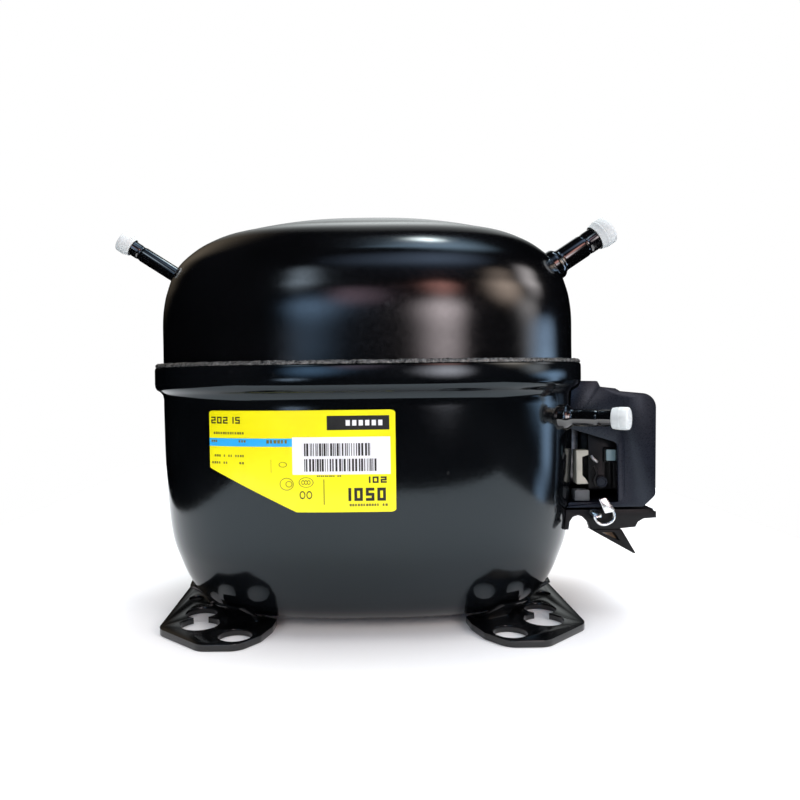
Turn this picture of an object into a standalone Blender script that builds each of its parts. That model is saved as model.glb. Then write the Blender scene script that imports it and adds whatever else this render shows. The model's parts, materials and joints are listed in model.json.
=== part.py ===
"""Hermetic reciprocating compressor: welded shell, feet, connectors, electrical box, sprung pump inside.

Lengths in this file are millimetres and are scaled to metres when a mesh is made. +Z is up, the rating
label faces -Y and the electrical box is on +X. The origin is the middle of the base. Solids that touch keep
a gap of about 0.3 mm.
"""

import math

import bmesh
import bpy
from mathutils import Matrix, Vector
from mathutils.geometry import tessellate_polygon

MM = 0.001
GAP = 0.3

# Shell
HALF_X = 111.0
HALF_Y = 83.0
SQUARENESS = 2.75
WALL = 3.0
RIM_PROUD = 4.2
RIM_LOW = 115.5
RIM_TOP = 126.3
TOP_Z = 206.4
SHELL_SIDES = 44
LOWER_PROFILE = [(45.0, 2.7), (34.0, 3.6), (24.0, 6.0), (16.0, 12.2), (10.7, 21.0), (7.0, 30.0),
                 (4.3, 38.0), (2.7, 47.0), (1.6, 60.0), (0.5, 81.0), (0.0, 107.0)]
UPPER_PROFILE = [(0.0, 150.0), (1.0, 159.5), (2.6, 166.0), (4.9, 172.6), (8.7, 179.0), (15.5, 185.6),
                 (22.0, 190.0), (30.0, 194.0), (40.0, 197.3)]

# Feet: inner edge's half sizes, outline corners from the outside inwards with their radii, holes as
# (x, y, radius, sides), pairs of holes that run into each other, and the lips' (height, insets)
FOOT_THICK = 3.0
FOOT_INNER = (76.0, 50.0)
FOOT_CORNERS = [(101.0, 57.0), (77.5, 78.5), (59.5, 78.5), (51.0, 68.0), (47.0, 56.0), (46.0, 46.0)]
FOOT_RADII = [9.0, 8.0, 9.0, 6.0, 6.0, 0.0]
FOOT_HOLES = [(93.0, 11.0, 4.0, 12), (93.0, -11.0, 4.0, 12), (63.0, 67.0, 8.0, 20), (63.0, -67.0, 8.0, 20)]
FOOT_PAIRS = ((82.55, 50.8, 9.5), (85.0, 35.0, 8.0))
LIP_LEVELS = [(1.0, 25.0, 22.2), (3.6, 24.4, 21.4), (7.1, 21.5, 18.6), (12.4, 14.2, 11.4)]

# Drive
THROW = 9.5
BORE_R = 16.0
PISTON_R = 15.7
BORE_Z = 146.0
SHAFT_R = 10.0
PIN_R = 8.0
BOLT_X = 42.0
BOLT_Y = 40.0
SPRING_R = 4.9
SPRING_TURNS = 5
SPRING_LOW = 14.2
SPRING_HIGH = 36.8

# Connectors: base point on the shell, direction, outer radius, bore radius, length
SUCTION = ((96.2, -24.0, 176.0), (0.839, 0.0, 0.545), 5.9, 4.1, 33.0)
PROCESS = ((-96.5, 11.0, 172.6), (-0.839, 0.0, 0.545), 4.3, 3.1, 47.14)
DISCHARGE = ((92.0, -51.5, 99.8), (0.839, -0.545, 0.0), 4.1, 3.1, 29.0)
CAP_END = 2.5

# Electrical box
COVER_FRONT = -44.0
COVER_BACK = 42.0
COVER_OUT = 141.0
COVER_WALL = 2.0
COVER_BEVEL = 3.2
TERMINAL_Z = 84.0

PAINT = ("black_paint", (0.012, 0.013, 0.016), 0.0, 0.18)
BEAD_PAINT = ("bead_paint", (0.03, 0.03, 0.035), 0.1, 0.4)
WHITE = ("white_plastic", (0.86, 0.87, 0.88), 0.0, 0.45)
BOX = ("box_plastic", (0.03, 0.032, 0.038), 0.0, 0.42)
BLACK = ("black_plastic", (0.012, 0.012, 0.013), 0.0, 0.5)
BEIGE = ("beige_plastic", (0.42, 0.41, 0.36), 0.0, 0.55)
GREY = ("grey_plastic", (0.09, 0.1, 0.105), 0.0, 0.5)
BRIGHT = ("bright_steel", (0.72, 0.74, 0.75), 1.0, 0.25)
STEEL = ("plain_steel", (0.45, 0.45, 0.46), 1.0, 0.38)
IRON = ("grey_iron", (0.2, 0.2, 0.205), 0.9, 0.55)
LAMINATE = ("core_laminate", (0.24, 0.24, 0.25), 0.9, 0.5)
COPPER = ("winding_copper", (0.55, 0.2, 0.07), 0.9, 0.4)
ALLOY = ("cast_alloy", (0.62, 0.63, 0.64), 1.0, 0.4)
GASKET = ("gasket_fibre", (0.1, 0.16, 0.13), 0.0, 0.8)
MUFFLER = ("muffler_plastic", (0.65, 0.63, 0.55), 0.0, 0.5)
LABEL = ("label_yellow", (0.9, 0.78, 0.02), 0.0, 0.4)
LEAD = ("lead_sleeve", (0.5, 0.05, 0.04), 0.0, 0.6)


def material(spec):
    """One Principled material for each name."""
    name, colour, metallic, roughness = spec
    found = bpy.data.materials.get(name)
    if found:
        return found
    made = bpy.data.materials.new(name)
    made.use_nodes = True
    shader = made.node_tree.nodes["Principled BSDF"]
    shader.inputs["Base Color"].default_value = (*colour, 1.0)
    shader.inputs["Metallic"].default_value = metallic
    shader.inputs["Roughness"].default_value = roughness
    made.diffuse_color = (*colour, 1.0)
    return made


# ---------------------------------------------------------------- closed surfaces as (points, faces)


def loft(rings, loop=False):
    """Bridges rings of equal length. The ends are capped, or joined to each other for a loop."""
    count = len(rings[0])
    points = [p for ring in rings for p in ring]
    faces = []
    last = len(rings) if loop else len(rings) - 1
    for i in range(last):
        a = i * count
        b = ((i + 1) % len(rings)) * count
        for k in range(count):
            m = (k + 1) % count
            faces.append((a + k, a + m, b + m, b + k))
    if not loop:
        faces.append(tuple(reversed(range(count))))
        faces.append(tuple(range((len(rings) - 1) * count, len(rings) * count)))
    return points, faces


def basis(axis):
    """Two unit directions at right angles to axis."""
    along = Vector(axis).normalized()
    side = Vector((0.0, 1.0, 0.0)) if abs(along.z) > 0.9 else Vector((0.0, 0.0, 1.0))
    u = along.cross(side).normalized()
    return along, u, along.cross(u).normalized()


def turned(profile, sides, centre=(0.0, 0.0, 0.0), axis=(0.0, 0.0, 1.0)):
    """Turns (radius, height) pairs about an axis.

    Radius 0 at both ends makes a solid, otherwise the profile loops.
    """
    along, u, v = basis(axis)
    start = Vector(centre)
    points = []
    rows = []
    for radius, height in profile:
        middle = start + along * height
        if radius == 0.0:
            rows.append([len(points)] * sides)
            points.append(tuple(middle))
            continue
        row = []
        for k in range(sides):
            t = 2.0 * math.pi * (k + 0.5) / sides
            row.append(len(points))
            points.append(tuple(middle + u * (radius * math.cos(t)) + v * (radius * math.sin(t))))
        rows.append(row)
    solid = profile[0][0] == 0.0
    faces = []
    for i in range(len(rows) - 1 if solid else len(rows)):
        a = rows[i]
        b = rows[(i + 1) % len(rows)]
        for k in range(sides):
            m = (k + 1) % sides
            face = []
            for n in (a[k], a[m], b[m], b[k]):
                if n not in face:
                    face.append(n)
            if len(face) > 2:
                faces.append(tuple(face))
    return points, faces


def rod(radius, start, end, sides=16):
    """Solid cylinder from start to end."""
    span = Vector(end) - Vector(start)
    length = span.length
    return turned([(0.0, 0.0), (radius, 0.0), (radius, length), (0.0, length)], sides, start, span)


def plate(outline, low, high, holes=(), axes="xyz"):
    """Flat outline with holes, given a thickness.

    axes says which world axes the outline's two and the thickness use.
    """
    loops = [list(outline)] + [list(h) for h in holes]
    flat = [p for loop in loops for p in loop]
    caps = tessellate_polygon([[Vector((p[0], p[1], 0.0)) for p in loop] for loop in loops])
    count = len(flat)
    order = ["xyz".index(c) for c in axes]

    def place(p, h):
        out = [0.0, 0.0, 0.0]
        for value, slot in zip((p[0], p[1], h), order):
            out[slot] = value
        return tuple(out)

    points = [place(p, low) for p in flat] + [place(p, high) for p in flat]
    faces = [tuple(reversed(t)) for t in caps] + [tuple(i + count for i in t) for t in caps]
    first = 0
    for loop in loops:
        for k in range(len(loop)):
            a = first + k
            b = first + (k + 1) % len(loop)
            faces.append((a, b, b + count, a + count))
        first += len(loop)
    return points, faces


def pipe(path, radius, sides, bore=None):
    """Round bar or pipe along a path of points."""
    path = [Vector(p) for p in path]
    rings = []
    inner = []
    u = None
    for i, p in enumerate(path):
        ahead = (path[min(i + 1, len(path) - 1)] - path[max(i - 1, 0)]).normalized()
        if u is None:
            u = basis(ahead)[1]
        u = (u - ahead * u.dot(ahead)).normalized()
        v = ahead.cross(u)
        turn = [2.0 * math.pi * k / sides for k in range(sides)]
        rings.append([tuple(p + u * (radius * math.cos(t)) + v * (radius * math.sin(t))) for t in turn])
        if bore:
            inner.append([tuple(p + u * (bore * math.cos(t)) + v * (bore * math.sin(t))) for t in turn])
    if bore:
        return loft(rings + inner[::-1], loop=True)
    return loft(rings)


def circle(x, y, radius, sides=20):
    turns = [2.0 * math.pi * k / sides for k in range(sides)]
    return [(x + radius * math.cos(t), y + radius * math.sin(t)) for t in turns]


def rounded(points, radii, steps=4):
    """Rounds each corner of a polygon with its own radius."""
    out = []
    count = len(points)
    for i, (p, r) in enumerate(zip(points, radii)):
        here = Vector((p[0], p[1]))
        if r <= 0.0:
            out.append((p[0], p[1]))
            continue
        before = (Vector(points[i - 1]) - here).normalized()
        after = (Vector(points[(i + 1) % count]) - here).normalized()
        half = 0.5 * before.angle(after)
        reach = r / math.tan(half)
        start = here + before * reach
        end = here + after * reach
        middle = here + (before + after).normalized() * (r / math.sin(half))
        a = math.atan2(start.y - middle.y, start.x - middle.x)
        b = math.atan2(end.y - middle.y, end.x - middle.x)
        turn = (b - a + math.pi) % (2.0 * math.pi) - math.pi
        for k in range(steps + 1):
            t = a + turn * k / steps
            out.append((middle.x + r * math.cos(t), middle.y + r * math.sin(t)))
    return out


def box_outline(x0, y0, x1, y1, r=0.0, steps=3):
    return rounded([(x0, y0), (x1, y0), (x1, y1), (x0, y1)], [r] * 4, steps)


# ---------------------------------------------------------------- objects


def shape(name, parts, spec, origin=(0.0, 0.0, 0.0), cuts=(), crease=35.0):
    """Joins closed surfaces into one solid, takes the cuts away and sets the named object's origin."""
    finish = material(spec)
    made = raw(name, parts[0])
    for extra in parts[1:]:
        combine(made, extra, "UNION")
    for cutter in cuts:
        combine(made, cutter, "DIFFERENCE")
    made.data.transform(Matrix.Translation(-Vector(origin)))
    made.data.transform(Matrix.Scale(MM, 4))
    made.location = Vector(origin) * MM
    made.data.materials.clear()
    made.data.materials.append(finish)
    for face in made.data.polygons:
        face.use_smooth = True
        face.material_index = 0
    made.data.set_sharp_from_angle(angle=math.radians(crease))
    return made


def raw(name, surface):
    mesh = bpy.data.meshes.new(name)
    mesh.from_pydata([tuple(p) for p in surface[0]], [], surface[1])
    work = bmesh.new()
    work.from_mesh(mesh)
    bmesh.ops.recalc_face_normals(work, faces=work.faces)
    work.to_mesh(mesh)
    work.free()
    made = bpy.data.objects.new(name, mesh)
    bpy.context.scene.collection.objects.link(made)
    return made


def combine(made, surface, operation):
    """Applies one exact Boolean and removes its tool."""
    tool = raw("tool", surface)
    step = made.modifiers.new("step", "BOOLEAN")
    step.solver = "EXACT"
    step.operation = operation
    step.object = tool
    bpy.context.view_layer.update()
    seen = made.evaluated_get(bpy.context.evaluated_depsgraph_get())
    result = bpy.data.meshes.new_from_object(seen)
    made.modifiers.clear()
    made.data = result
    bpy.data.objects.remove(tool, do_unlink=True)


# ---------------------------------------------------------------- shell


def shell_ring(inset, z, scale=1.0):
    """One level of the shell's plan, measured in from the straight wall."""
    a = (HALF_X - RIM_PROUD - inset) * scale
    b = (HALF_Y - RIM_PROUD - inset) * scale
    ring = []
    for k in range(SHELL_SIDES):
        t = 2.0 * math.pi * (k + 0.5) / SHELL_SIDES
        c = math.cos(t)
        s = math.sin(t)
        x = math.copysign(abs(c) ** (2.0 / SQUARENESS), c) * a
        y = math.copysign(abs(s) ** (2.0 / SQUARENESS), s) * b
        ring.append((x, y, z))
    return ring


def offset(profile, by, first, last):
    """Moves an (inset, z) line sideways, inward for positive by.

    first and last are the directions at its ends.
    """
    out = []
    for i, (inset, z) in enumerate(profile):
        before = profile[max(i - 1, 0)]
        after = profile[min(i + 1, len(profile) - 1)]
        run = Vector((after[0] - before[0], after[1] - before[1])).normalized()
        normal = Vector((abs(run.y), run.x if run.x else 0.0))
        if i == 0:
            normal = Vector(first)
        if i == len(profile) - 1:
            normal = Vector(last)
        out.append((inset + normal.x * by, z - normal.y * by))
    return out


def crown(edge, top, steps=6):
    """Levels of the nearly flat lid, from its edge to a small ring at the top."""
    inset, z = edge
    rings = []
    for k in range(1, steps):
        s = 1.0 - k / steps
        rings.append(shell_ring(inset, top - (top - z) * s * s, s))
    return rings


def lower_shell():
    """Deep cup with the rim that takes the upper shell."""
    inside = offset(LOWER_PROFILE, WALL, (0.0, -1.0), (1.0, 0.0))
    rings = [shell_ring(i, z) for i, z in LOWER_PROFILE]
    rings.append(shell_ring(-0.2, 112.0))
    rings.append(shell_ring(-RIM_PROUD + 0.5, RIM_LOW))
    rings.append(shell_ring(-RIM_PROUD, RIM_LOW + 1.2))
    rings.append(shell_ring(-RIM_PROUD, RIM_TOP))
    rings.append(shell_ring(-GAP, RIM_TOP))
    rings.append(shell_ring(-GAP, RIM_LOW + 0.5))
    rings.append(shell_ring(WALL, RIM_LOW + 0.5))
    rings += [shell_ring(i, z) for i, z in inside[::-2]]
    terminal_hole = rod(16.3, (90.0, 0.0, TERMINAL_Z), (112.0, 0.0, TERMINAL_Z), 24)
    return shape("lower_shell", [loft(rings)], PAINT, cuts=[port(DISCHARGE), terminal_hole])


def upper_shell():
    """Lid that stands inside the rim."""
    inside = offset(UPPER_PROFILE, WALL, (1.0, 0.0), (0.15, 0.985))
    rings = crown(inside[-1], TOP_Z - WALL, 4)[::-1]
    rings += [shell_ring(i, z) for i, z in inside[::-2]]
    rings.append(shell_ring(WALL, RIM_LOW + 0.8))
    rings.append(shell_ring(0.0, RIM_LOW + 0.8))
    rings += [shell_ring(i, z) for i, z in UPPER_PROFILE]
    rings += crown(UPPER_PROFILE[-1], TOP_Z)
    return shape("upper_shell", [loft(rings)], PAINT, cuts=[port(SUCTION), port(PROCESS)])


def port(connector):
    """The way through the shell behind a connector."""
    base, way, outer, bore, length = connector
    start = Vector(base) - Vector(way) * 16.0
    end = Vector(base) + Vector(way) * 12.0
    return rod(bore, start, end, 16)


def shell_solid(clear):
    """The shell's outside as one solid, swollen by clear, to trim the pieces that sit against it."""
    rings = [shell_ring(i - clear, z - (clear if i > 20.0 else 0.0)) for i, z in LOWER_PROFILE]
    rings.append(shell_ring(-0.2 - clear, 112.0 - clear))
    rings.append(shell_ring(-RIM_PROUD + 0.5 - clear, RIM_LOW - clear))
    rings.append(shell_ring(-RIM_PROUD - clear, RIM_LOW + 1.2))
    rings.append(shell_ring(-RIM_PROUD - clear, RIM_TOP + clear))
    rings.append(shell_ring(-clear, RIM_TOP + clear))
    rings += [shell_ring(i, z) for i, z in offset(UPPER_PROFILE, -clear, (1.0, 0.0), (0.15, 0.985))]
    rings += crown(offset(UPPER_PROFILE, -clear, (1.0, 0.0), (0.15, 0.985))[-1], TOP_Z + clear)
    return loft(rings)


def weld_bead():
    """Fillet of weld metal on the rim."""
    section = [(-0.35, RIM_TOP + GAP), (-4.0, RIM_TOP + GAP), (-3.9, RIM_TOP + 1.8), (-2.3, RIM_TOP + 3.0),
               (-0.35, RIM_TOP + 3.4)]
    rings = [shell_ring(i, z) for i, z in section]
    return shape("weld_bead", [loft(rings, loop=True)], BEAD_PAINT, crease=60.0)


# ---------------------------------------------------------------- feet


def foot_edge(a, b, degrees):
    """Point on a plan like the shell's, with half sizes a and b."""
    t = math.radians(degrees)
    c = math.cos(t)
    s = math.sin(t)
    return (abs(c) ** (2.0 / SQUARENESS) * a, math.copysign(abs(s) ** (2.0 / SQUARENESS), s) * b)


def foot_tab(start, end, steps, side):
    """Upturned lip that follows the shell's lower curve."""
    section = [(z, near) for z, near, far in LIP_LEVELS] + [(z, far) for z, near, far in reversed(LIP_LEVELS)]
    rings = []
    for k in range(steps + 1):
        t = start + (end - start) * k / steps
        ring = []
        for z, inset in section:
            x, y = foot_edge(HALF_X - RIM_PROUD - inset, HALF_Y - RIM_PROUD - inset, t)
            ring.append((x * side, y, z))
        rings.append(ring)
    return loft(rings)


def foot(name, side):
    """Flat bracket with grommet and bolt holes, welded to the shell's lower curve by three lips."""
    inner = [foot_edge(*FOOT_INNER, 57.0 - 6.0 * k) for k in range(20)]
    front = [(x, -y) for x, y in FOOT_CORNERS[::-1]]
    outline = rounded(front + FOOT_CORNERS, FOOT_RADII[::-1] + FOOT_RADII) + inner
    holes = [circle(x * side, y, r, count) for x, y, r, count in FOOT_HOLES]
    cuts = []
    for s in (-1.0, 1.0):
        for x, y, r in FOOT_PAIRS:
            cuts.append(rod(r, (x * side, y * s, -2.0), (x * side, y * s, 2.0 * FOOT_THICK), 24))
    flat = plate([(x * side, y) for x, y in outline], 0.0, FOOT_THICK, holes)
    tabs = [foot_tab(-13.0, 13.0, 4, side), foot_tab(44.0, 56.0, 3, side), foot_tab(-56.0, -44.0, 3, side)]
    return shape(name, [flat] + tabs, PAINT, cuts=cuts + [shell_solid(0.35)])


# ---------------------------------------------------------------- connectors


def connector(name, spec):
    """Tube with a solder collar, trimmed to the shell's outside."""
    base, way, outer, bore, length = spec
    collar = outer + 2.2
    profile = [(bore, -9.0), (collar, -9.0), (collar, 3.2), (collar - 0.7, 4.6), (outer, 5.6),
               (outer, length), (bore, length)]
    return shape(name, [turned(profile, 18, base, way)], PAINT, cuts=[shell_solid(0.3)])


def cap(name, spec, skirt, length):
    """Closed plug over a tube's end, with a wider head."""
    base, way, outer, bore, reach = spec
    start = Vector(base) + Vector(way) * (reach - length + CAP_END)
    shelf = length - CAP_END + GAP
    dimple = length - 0.8
    profile = [(0.0, shelf), (outer + GAP, shelf), (outer + GAP, 0.0), (outer + 0.8, 0.0),
               (outer + 0.8, 1.0), (skirt + 0.3, 3.0), (skirt + 0.3, dimple),
               (skirt - 0.5, length), (skirt * 0.45, length), (skirt * 0.3, dimple), (0.0, dimple)]
    return shape(name, [turned(profile, 16, start, way)], WHITE, origin=tuple(start))


# ---------------------------------------------------------------- electrical box


def terminal_cover():
    """Push-on cover with a stepped top, open towards the shell, with a cut-out in its front wall."""
    side = [(95.0, 55.0), (134.0, 55.0), (140.0, 60.5), (COVER_OUT, 110.0), (123.3, 111.8), (121.0, 113.2),
            (113.6, 114.1), (112.2, 116.9), (95.0, 116.9)]
    outer = rounded(side, [0.0, 2.5, 3.5, 7.0, 0.8, 0.8, 0.6, 0.8, 0.0])
    bore = [(80.0, 57.0), (133.3, 57.0), (138.0, 61.3), (COVER_OUT - COVER_WALL, 108.0), (122.0, 109.8),
            (110.0, 111.7), (80.0, 111.7)]
    window = rounded([(80.0, 54.0), (121.8, 57.5), (121.6, 86.5), (99.5, 93.5), (80.0, 93.5)],
                     [0.0, 0.0, 3.0, 0.0, 0.0], 3)
    body = plate(outer, COVER_FRONT, COVER_BACK, axes="xzy")
    cavity = plate(rounded(bore, [0.0, 2.0, 3.0, 5.4, 0.0, 0.0, 0.0]), COVER_FRONT + COVER_WALL,
                   COVER_BACK - COVER_WALL, axes="xzy")
    opening = plate(window, COVER_FRONT - 3.0, COVER_FRONT + 2.6, axes="xzy")
    edge_cuts = []
    for y, tip in ((COVER_FRONT, -1.0), (COVER_BACK, 1.0)):
        past = y + tip * 2.0
        wedge = [(COVER_OUT + 2.0, y - tip * COVER_BEVEL), (COVER_OUT + 2.0, past), (COVER_OUT - COVER_BEVEL, past)]
        edge_cuts.append(plate(wedge, 40.0, 130.0))
    return shape("terminal_cover", [body], BOX, cuts=[cavity, opening, shell_solid(0.5)] + edge_cuts)


def relief_body():
    """Cord relief under the cover: floor, screw boss and a front wall with a tongue, an arch and a leg."""
    edge = [(84.0, 53.8), (135.0, 53.8), (137.0, 52.9), (140.2, 52.6), (140.2, 49.6), (134.0, 49.2),
            (131.2, 47.6), (130.0, 45.2), (122.0, 44.4), (108.0, 44.4), (107.0, 47.6), (104.4, 50.4),
            (101.8, 51.2), (99.4, 50.4), (97.8, 48.2), (97.2, 44.2), (84.0, 44.0)]
    front = plate(edge, COVER_FRONT, COVER_FRONT + 3.5, axes="xzy")
    boss = plate([(130.5, 49.3), (139.6, 49.3), (139.6, 52.0), (130.5, 52.0)], -42.0, -22.0, axes="xzy")
    floor = plate([(84.0, 50.9), (139.6, 50.9), (139.6, 53.6), (84.0, 53.6)], -42.0, COVER_BACK,
                  axes="xzy")
    entry = rod(3.8, (114.0, -36.5, 40.0), (114.0, -36.5, 60.0), 16)
    return shape("cord_relief_body", [front, floor, boss], BLACK, cuts=[entry, shell_solid(0.4)])


def clamp_flap():
    """Hinged wedge with a window, which presses on the supply cord."""
    outer = [(108.3, 43.9), (123.4, 43.9), (130.2, 32.0), (128.8, 32.2)]
    window = [(113.4, 42.5), (119.6, 42.7), (122.6, 38.2)]
    body = plate(outer, -43.6, -36.6, [window], axes="xzy")
    return shape("cord_clamp_flap", [body], BLACK, origin=(109.2, -40.0, 43.5))


def cover_clip():
    """Wide tab, bent hook and round pad in front of the relief body, which hold the cover down."""
    tab = plate([(110.7, 59.6), (114.1, 60.4), (118.4, 54.6), (117.6, 53.4), (113.6, 52.7)], -48.4, -46.9,
                axes="xzy")
    line = [(117.4, 54.4), (118.6, 52.0), (118.2, 49.4), (116.0, 47.6), (113.2, 47.0), (110.6, 48.0),
            (109.2, 50.0), (109.0, 52.4)]
    left = []
    right = []
    for i, p in enumerate(line):
        ahead = (Vector(line[min(i + 1, len(line) - 1)]) - Vector(line[max(i - 1, 0)])).normalized()
        side = Vector((-ahead.y, ahead.x)) * 0.7
        left.append((p[0] + side.x, p[1] + side.y))
        right.append((p[0] - side.x, p[1] - side.y))
    strip = plate(left + right[::-1], -48.4, COVER_FRONT - 0.8, axes="xzy")
    pad = turned([(0.0, -0.7), (2.4, -0.7), (3.1, -0.2), (3.1, 0.2), (2.4, 0.7), (0.0, 0.7)], 16,
                 (109.4, -47.5, 52.7), (0.15, -0.5, 0.85))
    return shape("cover_clip", [strip, tab, pad], BRIGHT, origin=(113.2, -46.0, 47.2))


def relay_parts():
    """What sits on the terminal pins and on the relief plate under the cover."""
    pins = pin_places()
    sockets = [rod(1.7, (108.0, y, z), (118.5, y, z), 10) for y, z in pins]
    body = plate(box_outline(-37.0, 62.0, 16.0, 92.0, 2.0), 109.6, 131.0, axes="yzx")
    tower = plate(box_outline(-38.6, 76.4, -30.0, 83.6, 1.0), 117.0, 124.0, axes="yzx")
    rim = [(0.0, 0.0), (3.2, 0.0), (3.2, 2.6), (2.2, 2.6), (2.2, 1.4), (0.0, 1.4)]
    ring = turned(rim, 16, (115.5, -36.0, 66.6), (0.0, -1.0, 0.0))
    slot = plate(box_outline(118.0, 60.0, 122.0, 76.0), -40.0, -33.0, axes="xzy")
    shape("starting_relay", [body, tower, ring], BLACK, cuts=sockets + [slot])
    cee = [(102.8, 65.8), (108.9, 65.8), (107.4, 68.4), (105.8, 70.0), (105.8, 79.2), (108.9, 80.2),
           (108.9, 82.6), (102.8, 82.6)]
    shape("overload_protector", [plate(cee, -39.6, -33.4, axes="xzy")], BEIGE)
    block = plate(box_outline(101.8, 57.4, 109.2, 62.8, 0.6), -39.6, -33.0, axes="xzy")
    jaw = rod(1.6, (105.5, -36.3, 59.4), (105.5, -36.3, 64.0), 10)
    shape("cord_terminal_block", [block], GREY, cuts=[jaw])
    head = [(0.0, 0.0), (3.0, 0.0), (3.0, 1.4), (2.2, 2.0), (0.0, 2.0)]
    screw = turned(head, 14, (136.4, -32.0, 48.8), (0.0, 0.0, -1.0))
    drive = plate(box_outline(132.0, -32.5, 140.0, -31.5), 46.0, 47.7)
    shape("clamp_screw", [screw], BRIGHT, cuts=[drive])


def pin_places():
    """The three terminal pins, as (y, z)."""
    places = []
    for k in range(3):
        t = math.radians(90.0 + 120.0 * k)
        places.append((6.2 * math.cos(t), TERMINAL_Z + 6.2 * math.sin(t)))
    return places


def terminal_parts():
    """Sealed three-pin terminal in the shell's wall, the fence round it and the lead connector inside."""
    section = [(0.0, 0.0), (19.0, 0.0), (19.0, 1.8), (15.9, 1.8), (15.9, 7.6), (13.8, 8.6), (12.6, 8.6),
               (11.2, 6.2), (0.0, 6.2)]
    cup = turned(section, 16, (98.2, 0.0, TERMINAL_Z), (1.0, 0.0, 0.0))
    pins = [rod(1.2, (91.0, y, z), (116.8, y, z), 10) for y, z in pin_places()]
    shape("hermetic_terminal", [cup] + pins, STEEL)
    inner = box_outline(-22.2, 64.8, 22.2, 105.2, 3.0)
    frame = plate(box_outline(-24.0, 63.0, 24.0, 107.0, 4.0), 96.0, 108.8, [inner], axes="yzx")
    shape("terminal_fence", [frame], STEEL, cuts=[shell_solid(0.35)])
    block = plate(box_outline(-15.0, 73.0, 15.0, 96.0, 2.0), 84.0, 97.8, axes="yzx")
    holes = [rod(1.6, (90.2, y, z), (99.0, y, z), 10) for y, z in pin_places()]
    shape("lead_connector", [block], WHITE, cuts=holes)


# ---------------------------------------------------------------- label


def rating_label():
    """Thin sticker that follows the shell's front."""
    left = -73.5
    right = 11.0
    low = 60.5
    high = 106.0
    levels = sorted({low, 66.0, 76.0, 81.0, 92.0, high})
    columns = [left + (right - left) * k / 15.0 for k in range(16)]

    def bottom(x):
        if x < -33.0:
            return low + (76.5 - low) * min(1.0, (-33.0 - x) / 37.5)
        return low

    def inset_at(z):
        for (i0, z0), (i1, z1) in zip(LOWER_PROFILE, LOWER_PROFILE[1:]):
            if z0 <= z <= z1:
                return i0 + (i1 - i0) * (z - z0) / (z1 - z0)
        return 0.0

    def on_shell(x, z, out):
        a = HALF_X - RIM_PROUD - inset_at(z) + out
        b = HALF_Y - RIM_PROUD - inset_at(z) + out
        return (x, -b * (1.0 - abs(x / a) ** SQUARENESS) ** (1.0 / SQUARENESS), z)

    rings = []
    for x in columns:
        start = bottom(x)
        heights = [start + (high - start) * (z - low) / (high - low) for z in levels]
        back = [on_shell(x, z, GAP) for z in heights]
        face = [on_shell(x, z, 2.0 * GAP) for z in reversed(heights)]
        rings.append(back + face)
    return shape("rating_label", [loft(rings)], LABEL)


# ---------------------------------------------------------------- pump inside


def bolt_places():
    return [(sx * BOLT_X, sy * BOLT_Y) for sx in (-1.0, 1.0) for sy in (-1.0, 1.0)]


def head_bolt_places():
    return [(sy * 18.0, BORE_Z + sz * 17.0) for sz in (1.0, -1.0) for sy in (-1.0, 1.0)]


def cylinder_block():
    """Deck with the main bearing, four legs and the cylinder."""
    corners = [(-54.0, -50.0), (52.0, -50.0), (66.0, -10.0), (66.0, 40.0), (56.0, 50.0), (-54.0, 50.0)]
    deck_edge = rounded(corners, [10.0, 10.0, 10.0, 8.0, 8.0, 10.0], 3)
    deck = plate(deck_edge, 110.0, 122.0)
    boss = rod(17.0, (0.0, 0.0, 99.5), (0.0, 0.0, 111.0), 24)
    legs = [rod(8.0, (x, y, 96.4), (x, y, 111.0), 14) for x, y in bolt_places()]
    body = plate(box_outline(-22.0, 121.0, 22.0, 166.0, 7.0), -64.0, -28.5, axes="yzx")
    cuts = [rod(SHAFT_R + GAP, (0.0, 0.0, 95.0), (0.0, 0.0, 126.0), 24)]
    cuts.append(rod(BORE_R, (-70.0, 0.0, BORE_Z), (-20.0, 0.0, BORE_Z), 32))
    cuts += [rod(2.9, (x, y, 90.0), (x, y, 116.0), 10) for x, y in bolt_places()]
    cuts += [rod(2.8, (-70.0, y, z), (-49.0, y, z), 10) for y, z in head_bolt_places()]
    return shape("cylinder_block", [deck, boss] + legs + [body], IRON, cuts=cuts)


def stator_core():
    """Laminated block with a slotted bore."""
    edge = [(59.0, -41.0), (59.0, 41.0), (41.0, 59.0), (-41.0, 59.0), (-59.0, 41.0), (-59.0, -41.0),
            (-41.0, -59.0), (41.0, -59.0)]
    bore = []
    slots = 18
    for k in range(slots):
        t = 2.0 * math.pi * k / slots
        for turn, radius in ((-0.125, 31.7), (-0.06, 31.7), (-0.06, 44.0), (0.06, 44.0), (0.06, 31.7)):
            bore.append((radius * math.cos(t + turn), radius * math.sin(t + turn)))
    holes = [circle(x, y, 2.9, 10) for x, y in bolt_places()]
    return shape("stator_core", [plate(edge, 44.0, 96.0, [bore] + holes)], LAMINATE)


def windings():
    section = [(34.0, 1.5), (36.0, 0.0), (43.0, 0.0), (46.0, 2.5), (46.0, 10.5), (43.5, 13.2), (36.0, 13.2),
               (34.0, 11.5)]
    shape("lower_winding", [turned(section, 20, (0.0, 0.0, 30.4))], COPPER)
    shape("upper_winding", [turned(section, 20, (0.0, 0.0, 96.4))], COPPER)


def rotor():
    section = [(10.3, 0.0), (22.0, 0.0), (22.0, -3.0), (29.0, -3.0), (29.0, 0.0), (31.0, 0.0), (31.0, 55.0),
               (29.0, 55.0), (29.0, 58.0), (22.0, 58.0), (22.0, 55.0), (10.3, 55.0)]
    shape("rotor", [turned(section, 20, (0.0, 0.0, 42.5))], ALLOY)


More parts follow.
